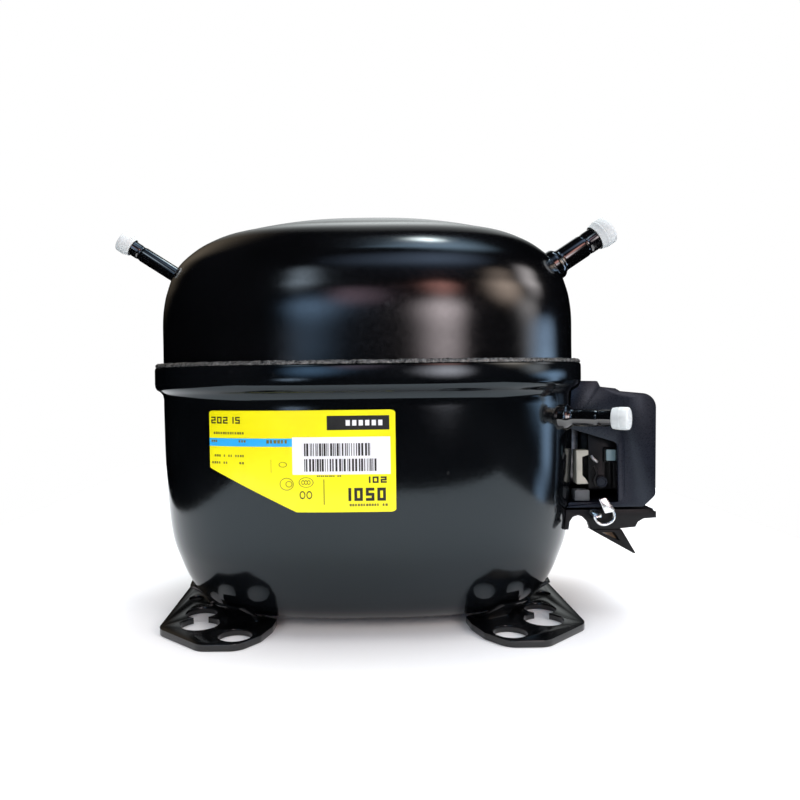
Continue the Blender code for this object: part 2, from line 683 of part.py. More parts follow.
def arc(x, radius, start, stop, step):
    """Points round (x, 0), at angles in degrees."""
    turns = [math.radians(t) for t in range(start, stop, step)]
    return [(x + radius * math.cos(t), radius * math.sin(t)) for t in turns]


def crankshaft():
    """Shaft with its pin and counterweight, the plug in the pin's oil bore, and the oil pickup."""
    web = arc(-THROW, 12.0, 90, 271, 20) + arc(0.0, 26.0, -66, 67, 12)
    shaft = rod(SHAFT_R, (0.0, 0.0, 30.0), (0.0, 0.0, 124.0), 24)
    pin = rod(PIN_R, (-THROW, 0.0, 128.0), (-THROW, 0.0, 157.0), 24)
    cuts = [rod(5.3, (0.0, 0.0, 28.0), (0.0, 0.0, 42.0), 14)]
    cuts.append(rod(2.4, (-THROW / 2.0, 0.0, 152.0), (-THROW / 2.0, 0.0, 160.0), 12))
    shape("crankshaft", [shaft, plate(web, 123.0, 129.0), pin], STEEL, cuts=cuts)
    shape("oil_bore_plug", [rod(2.1, (-THROW / 2.0, 0.0, 152.4), (-THROW / 2.0, 0.0, 156.6), 12)], BRIGHT,
          origin=(-THROW / 2.0, 0.0, 154.0))
    pickup = [(3.4, 0.0), (3.4, -16.0), (2.0, -28.0), (3.2, -28.0), (5.0, -16.0), (5.0, 0.0)]
    shape("oil_pickup", [turned(pickup, 10, (0.0, 0.0, 41.6))], STEEL)


def slide_block():
    edge = box_outline(-THROW - 12.7, -12.5, -THROW + 12.7, 12.5, 1.5, 2)
    body = plate(edge, BORE_Z - 9.0, BORE_Z + 9.0, [circle(-THROW, 0.0, PIN_R + GAP, 24)])
    return shape("slide_block", [body], IRON, origin=(-THROW, 0.0, BORE_Z))


def piston():
    """Piston and the yoke that the slide block runs in."""
    edge = box_outline(-THROW - 17.5, -27.0, -THROW + 17.5, 27.0, 5.0)
    track = box_outline(-THROW - 13.0, -22.9, -THROW + 13.0, 22.9, 1.0, 2)
    yoke = plate(edge, BORE_Z - 10.0, BORE_Z + 10.0, [track])
    neck = rod(9.0, (-37.0, 0.0, BORE_Z), (-25.0, 0.0, BORE_Z), 20)
    profile = [(0.0, 0.0), (PISTON_R - 0.5, 0.0), (PISTON_R, 0.5), (PISTON_R, 7.0), (PISTON_R - 0.7, 7.4),
               (PISTON_R - 0.7, 8.8), (PISTON_R, 9.2), (PISTON_R, 26.4), (0.0, 26.4)]
    crown_end = turned(profile, 32, (-62.4, 0.0, BORE_Z), (1.0, 0.0, 0.0))
    return shape("piston_yoke", [yoke, neck, crown_end], IRON, origin=(-THROW, 0.0, BORE_Z))


def valve_parts():
    """The stack on the cylinder's end: gaskets, reeds, valve plate, stop, head and its bolts."""
    face = box_outline(-22.0, 124.0, 22.0, 168.0, 6.0)
    bolts = [circle(y, z, 2.9, 10) for y, z in head_bolt_places()]
    bore = circle(0.0, BORE_Z, 16.5, 28)
    window = box_outline(-13.8, 130.0, 13.8, 163.0, 3.0)
    shape("cylinder_gasket", [plate(face, -64.7, -64.3, [bore] + bolts, axes="yzx")], GASKET)
    tongue = plate(box_outline(-8.5, 135.0, -1.5, 158.4, 2.2), -64.75, -64.4, axes="yzx")
    shape("suction_reed", [tongue], BRIGHT, origin=(-64.6, -5.0, 158.4))
    ports = [circle(-5.0, 141.0, 3.0, 12), circle(5.5, 143.0, 2.5, 12)]
    shape("valve_plate", [plate(face, -68.0, -65.0, ports + bolts, axes="yzx")], STEEL)
    tongue = plate(box_outline(2.0, 138.0, 9.0, 157.0, 2.0), -68.7, -68.35, axes="yzx")
    shape("discharge_reed", [tongue], BRIGHT, origin=(-68.5, 5.5, 157.0))
    stop = [(-68.3, 158.0), (-68.3, 162.0), (-71.4, 162.0), (-71.4, 137.0), (-70.2, 137.0), (-70.2, 158.0)]
    shape("discharge_stop", [plate(stop, 1.6, 9.4, axes="xzy")], STEEL)
    shape("head_gasket", [plate(face, -68.9, -68.3, [window] + bolts, axes="yzx")], GASKET)
    head = plate(face, -82.0, -69.2, axes="yzx")
    chamber = plate(window, -78.0, -66.0, axes="yzx")
    holes = [rod(2.9, (-84.0, y, z), (-60.0, y, z), 10) for y, z in head_bolt_places()]
    shape("cylinder_head", [head], ALLOY, cuts=[chamber] + holes)
    bolt = [(0.0, 0.0), (4.3, 0.0), (4.3, 3.6), (2.4, 3.6), (2.4, 33.0), (0.0, 33.0)]
    for n, (y, z) in enumerate(head_bolt_places()):
        shape("head_bolt_%d" % (n + 1), [turned(bolt, 8, (-85.9, y, z), (1.0, 0.0, 0.0))], STEEL)


def mufflers():
    """Hollow suction muffler on the head and discharge muffler on the deck."""
    outer = plate(box_outline(-22.0, 168.6, 22.0, 182.0, 4.0), -82.0, -46.0, axes="yzx")
    snout = rod(5.5, (-47.0, 0.0, 175.2), (-38.0, 0.0, 175.2), 16)
    inside = plate(box_outline(-20.2, 170.4, 20.2, 180.2, 3.0), -80.2, -47.8, axes="yzx")
    way = rod(4.0, (-50.0, 0.0, 175.2), (-36.0, 0.0, 175.2), 16)
    shape("suction_muffler", [outer, snout], MUFFLER, cuts=[inside, way])
    cup = [(13.4, 0.0), (14.9, 0.0), (14.9, 25.0), (12.0, 28.0), (3.0, 28.6), (3.0, 31.0), (1.6, 31.0),
           (1.6, 26.8), (11.4, 26.4), (13.4, 24.2)]
    shape("discharge_muffler", [turned(cup, 16, (48.0, 22.0, 122.4))], STEEL)


def curve_through(points, steps=4):
    """Smooth path through points."""
    points = [Vector(p) for p in points]
    path = []
    for i in range(len(points) - 1):
        a = points[max(i - 1, 0)]
        b = points[i]
        c = points[i + 1]
        d = points[min(i + 2, len(points) - 1)]
        for k in range(steps):
            t = k / steps
            path.append(0.5 * ((2.0 * b) + (c - a) * t + (2.0 * a - 5.0 * b + 4.0 * c - d) * t * t
                               + (3.0 * b - a - 3.0 * c + d) * t * t * t))
    path.append(points[-1])
    return path


def soft_parts():
    """What flexes when the pump moves on its springs, with the springs' pins and bolts."""
    loop = [(84.2, -46.0, 99.8), (76.0, -41.0, 99.8), (71.0, -28.0, 104.0), (73.0, -10.0, 126.0),
            (74.0, 8.0, 152.0), (66.0, 20.0, 166.0), (53.0, 22.5, 166.0), (48.2, 22.0, 160.0), (48.0, 22.0, 154.4)]
    shape("discharge_shock_loop", [pipe(curve_through(loop, 3), 2.4, 6)], STEEL)
    leads = [(83.6, 0.0, 79.0), (78.0, 0.0, 79.5), (71.0, 0.0, 86.0), (64.0, 0.0, 97.0), (56.0, 0.0, 102.5),
             (46.4, 0.0, 103.0)]
    shape("motor_leads", [pipe(curve_through(leads, 2), 2.4, 8)], LEAD)
    points_a_turn = 7
    steps = points_a_turn * SPRING_TURNS
    for n, (x, y) in enumerate(bolt_places()):
        path = []
        for k in range(steps + 1):
            t = 2.0 * math.pi * k / points_a_turn
            z = SPRING_LOW + (SPRING_HIGH - SPRING_LOW) * k / steps
            path.append((x + SPRING_R * math.cos(t), y + SPRING_R * math.sin(t), z))
        shape("suspension_spring_%d" % (n + 1), [pipe(path, 0.85, 4)], BRIGHT, crease=80.0)
        pin = [(0.0, 9.2), (3.0, 9.2), (3.0, 11.4), (6.4, 11.4), (6.4, 13.0), (3.4, 13.0), (3.4, 20.0),
               (2.4, 21.4), (0.0, 21.4)]
        shape("spring_pin_%d" % (n + 1), [turned(pin, 8, (x, y, 0.0))], STEEL)
        bolt = [(0.0, 30.4), (2.4, 30.4), (3.4, 31.8), (3.4, 38.0), (6.2, 38.0), (6.2, 42.0), (5.0, 43.6),
                (2.5, 43.6), (2.5, 115.0), (0.0, 115.0)]
        shape("stator_bolt_%d" % (n + 1), [turned(bolt, 8, (x, y, 0.0))], STEEL)


def main():
    for old in list(bpy.data.objects):
        bpy.data.objects.remove(old, do_unlink=True)
    lower_shell()
    upper_shell()
    weld_bead()
    foot("left_base_bracket", -1.0)
    foot("right_base_bracket", 1.0)
    connector("suction_tube", SUCTION)
    connector("process_tube", PROCESS)
    connector("discharge_tube", DISCHARGE)
    cap("suction_tube_cap", SUCTION, 7.2, 8.6)
    cap("process_tube_cap", PROCESS, 5.7, 8.0)
    cap("discharge_tube_cap", DISCHARGE, 5.1, 7.6)
    terminal_parts()
    relay_parts()
    terminal_cover()
    relief_body()
    clamp_flap()
    cover_clip()
    rating_label()
    cylinder_block()
    stator_core()
    windings()
    rotor()
    crankshaft()
    slide_block()
    piston()
    valve_parts()
    mufflers()
    soft_parts()


main()
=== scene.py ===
"""Looks of the hermetic compressor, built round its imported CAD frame.

Lengths are millimetres until a mesh is made. The label side faces -Y, the electrical box is on +X, +Z is up.
"""

import json
import math
import random

import bmesh
import bpy
import numpy as np
from mathutils import Matrix, Vector, noise
from mathutils.geometry import tessellate_polygon

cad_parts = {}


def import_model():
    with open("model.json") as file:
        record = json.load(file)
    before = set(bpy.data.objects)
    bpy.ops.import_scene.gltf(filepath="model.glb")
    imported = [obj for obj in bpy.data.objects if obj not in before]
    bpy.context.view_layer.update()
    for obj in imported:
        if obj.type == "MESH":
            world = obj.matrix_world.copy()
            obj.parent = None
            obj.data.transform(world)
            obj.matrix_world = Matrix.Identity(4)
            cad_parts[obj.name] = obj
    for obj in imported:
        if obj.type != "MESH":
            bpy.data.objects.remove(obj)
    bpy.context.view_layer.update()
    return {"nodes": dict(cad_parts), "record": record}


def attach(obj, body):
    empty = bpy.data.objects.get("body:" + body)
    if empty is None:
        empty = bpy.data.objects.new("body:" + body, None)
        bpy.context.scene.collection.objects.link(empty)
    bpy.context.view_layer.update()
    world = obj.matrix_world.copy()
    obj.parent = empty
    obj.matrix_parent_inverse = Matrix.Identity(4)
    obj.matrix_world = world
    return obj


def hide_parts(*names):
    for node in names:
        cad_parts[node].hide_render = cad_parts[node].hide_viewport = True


MM = 0.001

# Shell: half sizes over the rim, plan squareness, and the wall's profiles as (inset from the straight wall,
# height)
HALF_X = 111.0
HALF_Y = 83.0
SQUARENESS = 2.75
WALL = 3.0
RIM_PROUD = 4.2
RIM_LOW = 115.5
RIM_TOP = 126.3
CROWN_TOP = 206.1
SIDES = 240
LOWER_PROFILE = [(45.0, 2.8), (34.0, 3.6), (24.0, 6.0), (16.0, 12.2), (10.7, 21.0), (7.0, 30.0),
                 (4.3, 38.0), (2.7, 47.0), (1.6, 60.0), (0.5, 81.0), (0.0, 107.0)]
UPPER_PROFILE = [(0.0, 150.0), (1.0, 159.5), (2.6, 166.0), (4.9, 172.6), (8.7, 179.0), (15.5, 185.6),
                 (22.0, 190.0), (30.0, 194.0), (40.0, 197.3)]

# Feet: inner edge's half sizes, outline corners from the outside inwards with their radii, lip sections as
# (height, near inset, far inset), and holes as (x, y, radius)
FOOT_THICK = 3.0
FOOT_INNER = (76.0, 50.0)
FOOT_CORNERS = [(101.0, 57.0), (77.5, 78.5), (59.5, 78.5), (51.0, 68.0), (47.0, 56.0), (46.0, 46.0)]
FOOT_RADII = [9.0, 8.0, 9.0, 6.0, 6.0, 0.0]
LIP_LEVELS = [(1.0, 24.8, 22.2), (3.6, 24.2, 21.4), (7.1, 21.3, 18.6), (12.35, 14.0, 11.4)]
LIP_SPANS = [(-13.0, 13.0, 10), (44.0, 56.0, 6), (-56.0, -44.0, 6)]
FOOT_HOLES = [(93.0, 11.0, 4.0, 32), (93.0, -11.0, 4.0, 32), (63.0, 67.0, 8.0, 64), (63.0, -67.0, 8.0, 64)]
GROMMET_HOLE = (82.55, 50.8, 9.5)
SLOT_HOLE = (85.0, 35.0, 8.0)

# Connectors: base point, direction, outer radius, length; and how far a cap reaches past its tube
SUCTION = ((96.2, -24.0, 176.0), (0.839, 0.0, 0.545), 5.9, 33.0)
PROCESS = ((-96.5, 11.0, 172.6), (-0.839, 0.0, 0.545), 4.3, 47.14)
DISCHARGE = ((92.0, -51.5, 99.8), (0.839, -0.545, 0.0), 4.1, 29.0)
CAP_END = 2.5

# Electrical box: the cover's front and back, its wall, and the front of what sits in its cut-out
COVER_FRONT = -44.0
COVER_BACK = 42.0
COVER_WALL = 2.0
RELAY_FRONT = -38.5
CLIP_MIDDLE = -46.6

# Camera: where the eye is, its focal length, the picture's centre off the lens axis, and its roll in degrees
EYE = (-7.6, -391.0, 120.5)
LENS = 31.86
SHIFT = (0.059, -0.029)
ROLL = -0.75


# ---------------------------------------------------------------- materials


def nodes_of(name):
    made = bpy.data.materials.new(name)
    made.use_nodes = True
    tree = made.node_tree
    return made, tree, tree.nodes["Principled BSDF"]


def noise_node(tree, coords, scale, detail=4.0, roughness=0.55, stretch=(1.0, 1.0, 1.0)):
    place = tree.nodes.new("ShaderNodeMapping")
    place.inputs["Scale"].default_value = stretch
    tree.links.new(coords, place.inputs["Vector"])
    grain = tree.nodes.new("ShaderNodeTexNoise")
    grain.inputs["Scale"].default_value = scale
    grain.inputs["Detail"].default_value = detail
    grain.inputs["Roughness"].default_value = roughness
    tree.links.new(place.outputs["Vector"], grain.inputs["Vector"])
    return grain.outputs["Fac"]


def ramp(tree, value, stops):
    """Colour ramp from (position, colour or grey level) pairs."""
    made = tree.nodes.new("ShaderNodeValToRGB")
    band = made.color_ramp
    while len(band.elements) < len(stops):
        band.elements.new(0.5)
    for element, (position, colour) in zip(band.elements, stops):
        element.position = position
        element.color = (colour, colour, colour, 1.0) if isinstance(colour, float) else (*colour, 1.0)
    tree.links.new(value, made.inputs["Fac"])
    return made.outputs["Color"]


def finish(name, dark, light, rough, metal=0.0, patch=18.0, grain=900.0, bump=0.02, depth=0.0003,
           stretch=(1.0, 1.0, 1.0), coat=0.0, specular=0.5, wear_and_glint=None, tint=(1.0, 1.0, 1.0)):
    """Painted, moulded or machined surface: patchy colour, uneven gloss and a fine relief.

    dark and light are the ends of the colour's variation, rough the ends of the roughness, patch and grain
    the noise scales per metre for the two sizes of variation. The speck colour shows in sparse specks: wear on
    most finishes, and on the weld bead bright specks that are partly bare-metal spatter and partly painted
    glints. tint colours what the surface mirrors.
    """
    made, tree, shader = nodes_of(name)
    coords = tree.nodes.new("ShaderNodeTexCoord").outputs["Object"]
    broad = noise_node(tree, coords, patch, 3.0, 0.5, stretch)
    fine = noise_node(tree, coords, grain, 3.0, 0.6, stretch)
    colour = ramp(tree, broad, [(0.3, dark), (0.72, light)])
    if wear_and_glint:
        specks = noise_node(tree, coords, grain * 0.35, 2.0, 0.5)
        mask = ramp(tree, specks, [(0.735, 0.0), (0.79, 1.0)])
        mix = tree.nodes.new("ShaderNodeMix")
        mix.data_type = "RGBA"
        tree.links.new(mask, mix.inputs["Factor"])
        tree.links.new(colour, mix.inputs["A"])
        mix.inputs["B"].default_value = (*wear_and_glint, 1.0)
        colour = mix.outputs["Result"]
    tree.links.new(colour, shader.inputs["Base Color"])
    tree.links.new(ramp(tree, fine, [(0.3, rough[0]), (0.7, rough[1])]), shader.inputs["Roughness"])
    shader.inputs["Metallic"].default_value = metal
    shader.inputs["Coat Weight"].default_value = coat
    shader.inputs["Coat Roughness"].default_value = 0.06
    shader.inputs["Specular IOR Level"].default_value = specular
    shader.inputs["Specular Tint"].default_value = (*tint, 1.0)
    relief = tree.nodes.new("ShaderNodeBump")
    relief.inputs["Strength"].default_value = bump
    relief.inputs["Distance"].default_value = depth
    tree.links.new(fine, relief.inputs["Height"])
    tree.links.new(relief.outputs["Normal"], shader.inputs["Normal"])
    return made


def make_materials():
    """One finish for each of the record's material slots, and a few more for details."""
    dark = (0.0012, 0.0013, 0.0016)
    made = {}
    made["black_paint"] = finish("black_paint", dark, (0.0026, 0.0028, 0.0034), (0.13, 0.19), patch=22.0,
                                 grain=420.0, bump=0.04, depth=0.0002, coat=0.35,
                                 wear_and_glint=(0.008, 0.009, 0.01))
    made["tube_paint"] = finish("tube_paint", dark, (0.003, 0.0034, 0.0042), (0.1, 0.14), patch=40.0,
                                grain=500.0, bump=0.01, depth=0.0001, coat=0.6, specular=1.0)
    made["clamp_pad"] = finish("clamp_pad", (0.5, 0.3, 0.17), (0.66, 0.43, 0.27), (0.5, 0.65),
                               patch=120.0)
    made["lower_paint"] = finish("lower_paint", (0.0014, 0.0018, 0.0024), (0.0032, 0.0038, 0.0046),
                                 (0.08, 0.13), patch=26.0, grain=620.0, bump=0.05, depth=0.0002,
                                 wear_and_glint=(0.012, 0.013, 0.014), tint=(0.78, 0.92, 1.0))
    made["foot_paint"] = finish("foot_paint", dark, (0.004, 0.0044, 0.0052), (0.16, 0.26), patch=60.0,
                                grain=700.0, bump=0.05, coat=0.2, wear_and_glint=(0.02, 0.021, 0.023))
    # Weld bead: the bright specks are partly bare-metal spatter and partly painted glints for the bead's
    # sparkle.
    made["bead_paint"] = finish("bead_paint", (0.004, 0.004, 0.0045), (0.24, 0.24, 0.23), (0.1, 0.4),
                                metal=0.4, patch=620.0, grain=1500.0, bump=0.7, depth=0.0005,
                                wear_and_glint=(0.8, 0.8, 0.78))
    made["white_plastic"] = finish("white_plastic", (0.66, 0.7, 0.7), (0.76, 0.8, 0.8), (0.34, 0.46),
                                   patch=160.0, grain=900.0, bump=0.01, depth=0.0001)
    made["box_plastic"] = finish("box_plastic", (0.0045, 0.0052, 0.009), (0.009, 0.0105, 0.017),
                                 (0.24, 0.34), patch=55.0, grain=1900.0, bump=0.1,
                                 wear_and_glint=(0.03, 0.032, 0.036), specular=0.3, tint=(0.75, 0.88, 1.0))
    made["black_plastic"] = finish("black_plastic", (0.0025, 0.0026, 0.003), (0.006, 0.006, 0.007),
                                   (0.32, 0.46), patch=90.0, grain=1600.0, bump=0.1, specular=0.18)
    made["beige_plastic"] = finish("beige_plastic", (0.33, 0.325, 0.28), (0.45, 0.44, 0.385),
                                   (0.45, 0.6), patch=150.0, grain=1200.0, bump=0.1)
    made["grey_plastic"] = finish("grey_plastic", (0.055, 0.062, 0.068), (0.09, 0.1, 0.108), (0.4, 0.55),
                                  patch=140.0, grain=1300.0, bump=0.1)
    made["blue_grey"] = finish("blue_grey", (0.14, 0.22, 0.25), (0.22, 0.32, 0.35), (0.35, 0.5),
                               patch=160.0, grain=900.0)
    made["bright_steel"] = finish("bright_steel", (0.6, 0.63, 0.64), (0.82, 0.84, 0.85), (0.14, 0.3),
                                  metal=1.0, patch=260.0, grain=1500.0, stretch=(1.0, 1.0, 5.0))
    made["plain_steel"] = finish("plain_steel", (0.32, 0.32, 0.33), (0.48, 0.48, 0.49), (0.3, 0.45),
                                 metal=1.0, patch=110.0, grain=1500.0, bump=0.05,
                                 stretch=(1.0, 1.0, 4.0))
    made["grey_iron"] = finish("grey_iron", (0.1, 0.1, 0.103), (0.19, 0.19, 0.195), (0.5, 0.7),
                               metal=0.85, patch=150.0, grain=1300.0, bump=0.3)
    made["core_laminate"] = finish("core_laminate", (0.12, 0.12, 0.125), (0.3, 0.3, 0.31), (0.35, 0.5),
                                   metal=0.9, patch=60.0, grain=1800.0, bump=0.4,
                                   stretch=(0.05, 0.05, 1.0))
    made["winding_copper"] = finish("winding_copper", (0.34, 0.1, 0.03), (0.62, 0.24, 0.09),
                                    (0.25, 0.42), metal=0.9, patch=300.0, grain=900.0, bump=0.6,
                                    depth=0.0006, stretch=(0.3, 0.3, 2.0))
    made["cast_alloy"] = finish("cast_alloy", (0.5, 0.51, 0.52), (0.66, 0.67, 0.68), (0.35, 0.5),
                                metal=1.0, patch=120.0, grain=1400.0, bump=0.2)
    made["gasket_fibre"] = finish("gasket_fibre", (0.06, 0.1, 0.08), (0.12, 0.18, 0.145), (0.7, 0.85),
                                  patch=300.0, grain=1400.0, bump=0.3)
    made["muffler_plastic"] = finish("muffler_plastic", (0.55, 0.53, 0.44), (0.68, 0.66, 0.57),
                                     (0.45, 0.6), patch=90.0, grain=1100.0, bump=0.1)
    made["label_yellow"] = finish("label_yellow", (0.88, 0.8, 0.0), (0.98, 0.92, 0.005), (0.3, 0.38),
                                  patch=40.0, grain=700.0, bump=0.02, coat=0.2)
    made["print_black"] = finish("print_black", (0.006, 0.006, 0.006), (0.014, 0.014, 0.012),
                                 (0.35, 0.45), patch=300.0)
    made["print_soft"] = finish("print_soft", (0.12, 0.11, 0.012), (0.2, 0.18, 0.02), (0.35, 0.45),
                                patch=300.0)
    made["print_blue"] = finish("print_blue", (0.02, 0.4, 0.86), (0.04, 0.47, 0.92), (0.3, 0.4),
                                patch=120.0)
    made["print_white"] = finish("print_white", (0.84, 0.85, 0.88), (0.92, 0.92, 0.94), (0.3, 0.42),
                                 patch=90.0)
    made["lead_sleeve"] = finish("lead_sleeve", (0.36, 0.03, 0.025), (0.5, 0.05, 0.04), (0.55, 0.65),
                                 patch=150.0)
    return made


# ---------------------------------------------------------------- closed surfaces as (points, faces)


def loft(rings, loop=False):
    """Bridges rings of equal length. The ends are capped, or joined to each other for a loop."""
    count = len(rings[0])
    points = [p for ring in rings for p in ring]
    faces = []
    for i in range(len(rings) if loop else len(rings) - 1):
        a = i * count
        b = ((i + 1) % len(rings)) * count
        faces += [(a + k, a + (k + 1) % count, b + (k + 1) % count, b + k) for k in range(count)]
    if not loop:
        faces.append(tuple(reversed(range(count))))
        faces.append(tuple(range((len(rings) - 1) * count, len(rings) * count)))
    return points, faces


def basis(axis):
    along = Vector(axis).normalized()
    side = Vector((0.0, 1.0, 0.0)) if abs(along.z) > 0.9 else Vector((0.0, 0.0, 1.0))
    u = along.cross(side).normalized()
    return along, u, along.cross(u).normalized()


def turned(profile, sides, centre=(0.0, 0.0, 0.0), axis=(0.0, 0.0, 1.0), ripple=None):
    """Turns (radius, height) pairs about an axis. A tiny radius at both ends closes it."""
    along, u, v = basis(axis)
    start = Vector(centre)
    rings = []
    for radius, height in profile:
        ring = []
        for k in range(sides):
            t = 2.0 * math.pi * k / sides
            r = radius * (ripple(t, height) if ripple else 1.0)
            ring.append(tuple(start + along * height + u * (r * math.cos(t)) + v * (r * math.sin(t))))
        rings.append(ring)
    return loft(rings)


def plate(outline, low, high, holes=(), axes="xyz"):
    """Flat outline with holes, given a thickness along the third of axes."""
    loops = [list(outline)] + [list(h) for h in holes]
    flat = [p for loop in loops for p in loop]
    caps = tessellate_polygon([[Vector((p[0], p[1], 0.0)) for p in loop] for loop in loops])
    count = len(flat)
    order = ["xyz".index(c) for c in axes]

    def place(p, h):
        out = [0.0, 0.0, 0.0]
        for value, at in zip((p[0], p[1], h), order):
            out[at] = value
        return tuple(out)

    points = [place(p, low) for p in flat] + [place(p, high) for p in flat]
    faces = [tuple(reversed(t)) for t in caps] + [tuple(i + count for i in t) for t in caps]
    first = 0
    for loop in loops:
        for k in range(len(loop)):
            a = first + k
            b = first + (k + 1) % len(loop)
            faces.append((a, b, b + count, a + count))
        first += len(loop)
    return points, faces


def pipe(path, radius, sides):
    path = [Vector(p) for p in path]
    rings = []
    u = None
    for i, p in enumerate(path):
        ahead = (path[min(i + 1, len(path) - 1)] - path[max(i - 1, 0)]).normalized()
        u = basis(ahead)[1] if u is None else (u - ahead * u.dot(ahead)).normalized()
        v = ahead.cross(u)
        rings.append([tuple(p + u * (radius * math.cos(t)) + v * (radius * math.sin(t)))
                      for t in (2.0 * math.pi * k / sides for k in range(sides))])
    return loft(rings)


def circle(x, y, radius, sides=64):
    turns = [2.0 * math.pi * k / sides for k in range(sides)]
    return [(x + radius * math.cos(t), y + radius * math.sin(t)) for t in turns]


def rounded(points, radii, steps=8):
    """Rounds each corner of a polygon with its own radius."""
    out = []
    for i, (p, r) in enumerate(zip(points, radii)):
        here = Vector((p[0], p[1]))
        if r <= 0.0:
            out.append((p[0], p[1]))
            continue
        before = (Vector(points[i - 1]) - here).normalized()
        after = (Vector(points[(i + 1) % len(points)]) - here).normalized()
        half = 0.5 * before.angle(after)
        start = here + before * (r / math.tan(half))
        end = here + after * (r / math.tan(half))
        middle = here + (before + after).normalized() * (r / math.sin(half))
        a = math.atan2(start.y - middle.y, start.x - middle.x)
        b = math.atan2(end.y - middle.y, end.x - middle.x)
        turn = (b - a + math.pi) % (2.0 * math.pi) - math.pi
        out += [(middle.x + r * math.cos(a + turn * k / steps), middle.y + r * math.sin(a + turn * k / steps))
                for k in range(steps + 1)]
    return out


def box_outline(x0, y0, x1, y1, r=0.0, steps=6):
    return rounded([(x0, y0), (x1, y0), (x1, y1), (x0, y1)], [r] * 4, steps)


def smooth_line(points, steps=6):
    """Curve through points, of any number of coordinates."""
    points = [np.array(p, float) for p in points]
    out = []
    for i in range(len(points) - 1):
        a, b, c, d = points[max(i - 1, 0)], points[i], points[i + 1], points[min(i + 2, len(points) - 1)]
        for k in range(steps):
            t = k / steps
            out.append(tuple(0.5 * (2.0 * b + (c - a) * t + (2.0 * a - 5.0 * b + 4.0 * c - d) * t * t
                                    + (3.0 * b - a - 3.0 * c + d) * t ** 3)))
    out.append(tuple(points[-1]))
    return out


# ---------------------------------------------------------------- objects


def raw(name, surface):
    mesh = bpy.data.meshes.new(name)
    mesh.from_pydata([tuple(c * MM for c in p) for p in surface[0]], [], surface[1])
    work = bmesh.new()
    work.from_mesh(mesh)
    bmesh.ops.recalc_face_normals(work, faces=work.faces)
    work.to_mesh(mesh)
    work.free()
    made = bpy.data.objects.new(name, mesh)
    bpy.context.scene.collection.objects.link(made)
    return made


def combine(made, surface, operation="DIFFERENCE"):
    tool = raw("tool", surface)
    step = made.modifiers.new("step", "BOOLEAN")
    step.solver = "EXACT"
    step.operation = operation
    step.object = tool
    bpy.context.view_layer.update()
    result = bpy.data.meshes.new_from_object(made.evaluated_get(bpy.context.evaluated_depsgraph_get()))
    made.modifiers.clear()
    made.data = result
    bpy.data.objects.remove(tool, do_unlink=True)


def soften(made, width, segments=2, crease=30.0):
    """Rounds the sharp edges and shades the rest smooth."""
    work = bmesh.new()
    work.from_mesh(made.data)
    bmesh.ops.remove_doubles(work, verts=work.verts, dist=0.00001)
    bmesh.ops.dissolve_limit(work, angle_limit=math.radians(0.4), verts=work.verts, edges=work.edges)
    sharp = [e for e in work.edges if e.is_manifold and e.calc_face_angle(0.0) > math.radians(crease)]
    if width and sharp:
        bmesh.ops.bevel(work, geom=sharp, offset=width * MM, segments=segments, profile=0.5, affect="EDGES",
                        clamp_overlap=True)
    work.to_mesh(made.data)
    work.free()
    for face in made.data.polygons:
        face.use_smooth = True
    made.data.set_sharp_from_angle(angle=math.radians(crease + 8.0))


def piece(name, surface, material, body, replaces=(), cuts=(), bevel=0.0, crease=30.0, joins=()):
    """A finished piece: joined, cut, edges rounded, painted and riding on its body."""
    made = raw(name, surface)
    for extra in joins:
        combine(made, extra, "UNION")
    for cutter in cuts:
        combine(made, cutter)
    if bevel:
        soften(made, bevel, crease=crease)
    else:
        for face in made.data.polygons:
            face.use_smooth = True
        made.data.set_sharp_from_angle(angle=math.radians(crease + 8.0))
    made.data.materials.clear()
    made.data.materials.append(material)
    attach(made, body)
    if replaces:
        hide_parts(*replaces)
    return made


def refine(frame, node, material, width, body, crease=30.0):
    """A softened copy of a CAD node, shown in its place."""
    source = frame["nodes"][node]
    mesh = source.data.copy()
    if "custom_normal" in mesh.attributes:
        mesh.attributes.remove(mesh.attributes["custom_normal"])
    made = bpy.data.objects.new(node + "_shown", mesh)
    bpy.context.scene.collection.objects.link(made)
    soften(made, width, crease=crease)
    made.data.materials.clear()
    made.data.materials.append(material)
    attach(made, body)
    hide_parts(node)
    return made


# ---------------------------------------------------------------- shell


def shell_ring(inset, z, scale=1.0, sides=SIDES):
    a = (HALF_X - RIM_PROUD - inset) * scale
    b = (HALF_Y - RIM_PROUD - inset) * scale
    ring = []
    for k in range(sides):
        t = 2.0 * math.pi * (k + 0.5) / sides
        c = math.cos(t)
        s = math.sin(t)
        ring.append((math.copysign(abs(c) ** (2.0 / SQUARENESS), c) * a,
                     math.copysign(abs(s) ** (2.0 / SQUARENESS), s) * b, z))
    return ring


def crown_rings(inset, edge_z, top, steps, sides=SIDES):
    """Nearly flat lid inside the last level of the side."""
    rings = []
    for k in range(1, steps):
        s = 1.0 - k / steps
        rings.append(shell_ring(inset, top - (top - edge_z) * s * s, s, sides))
    return rings


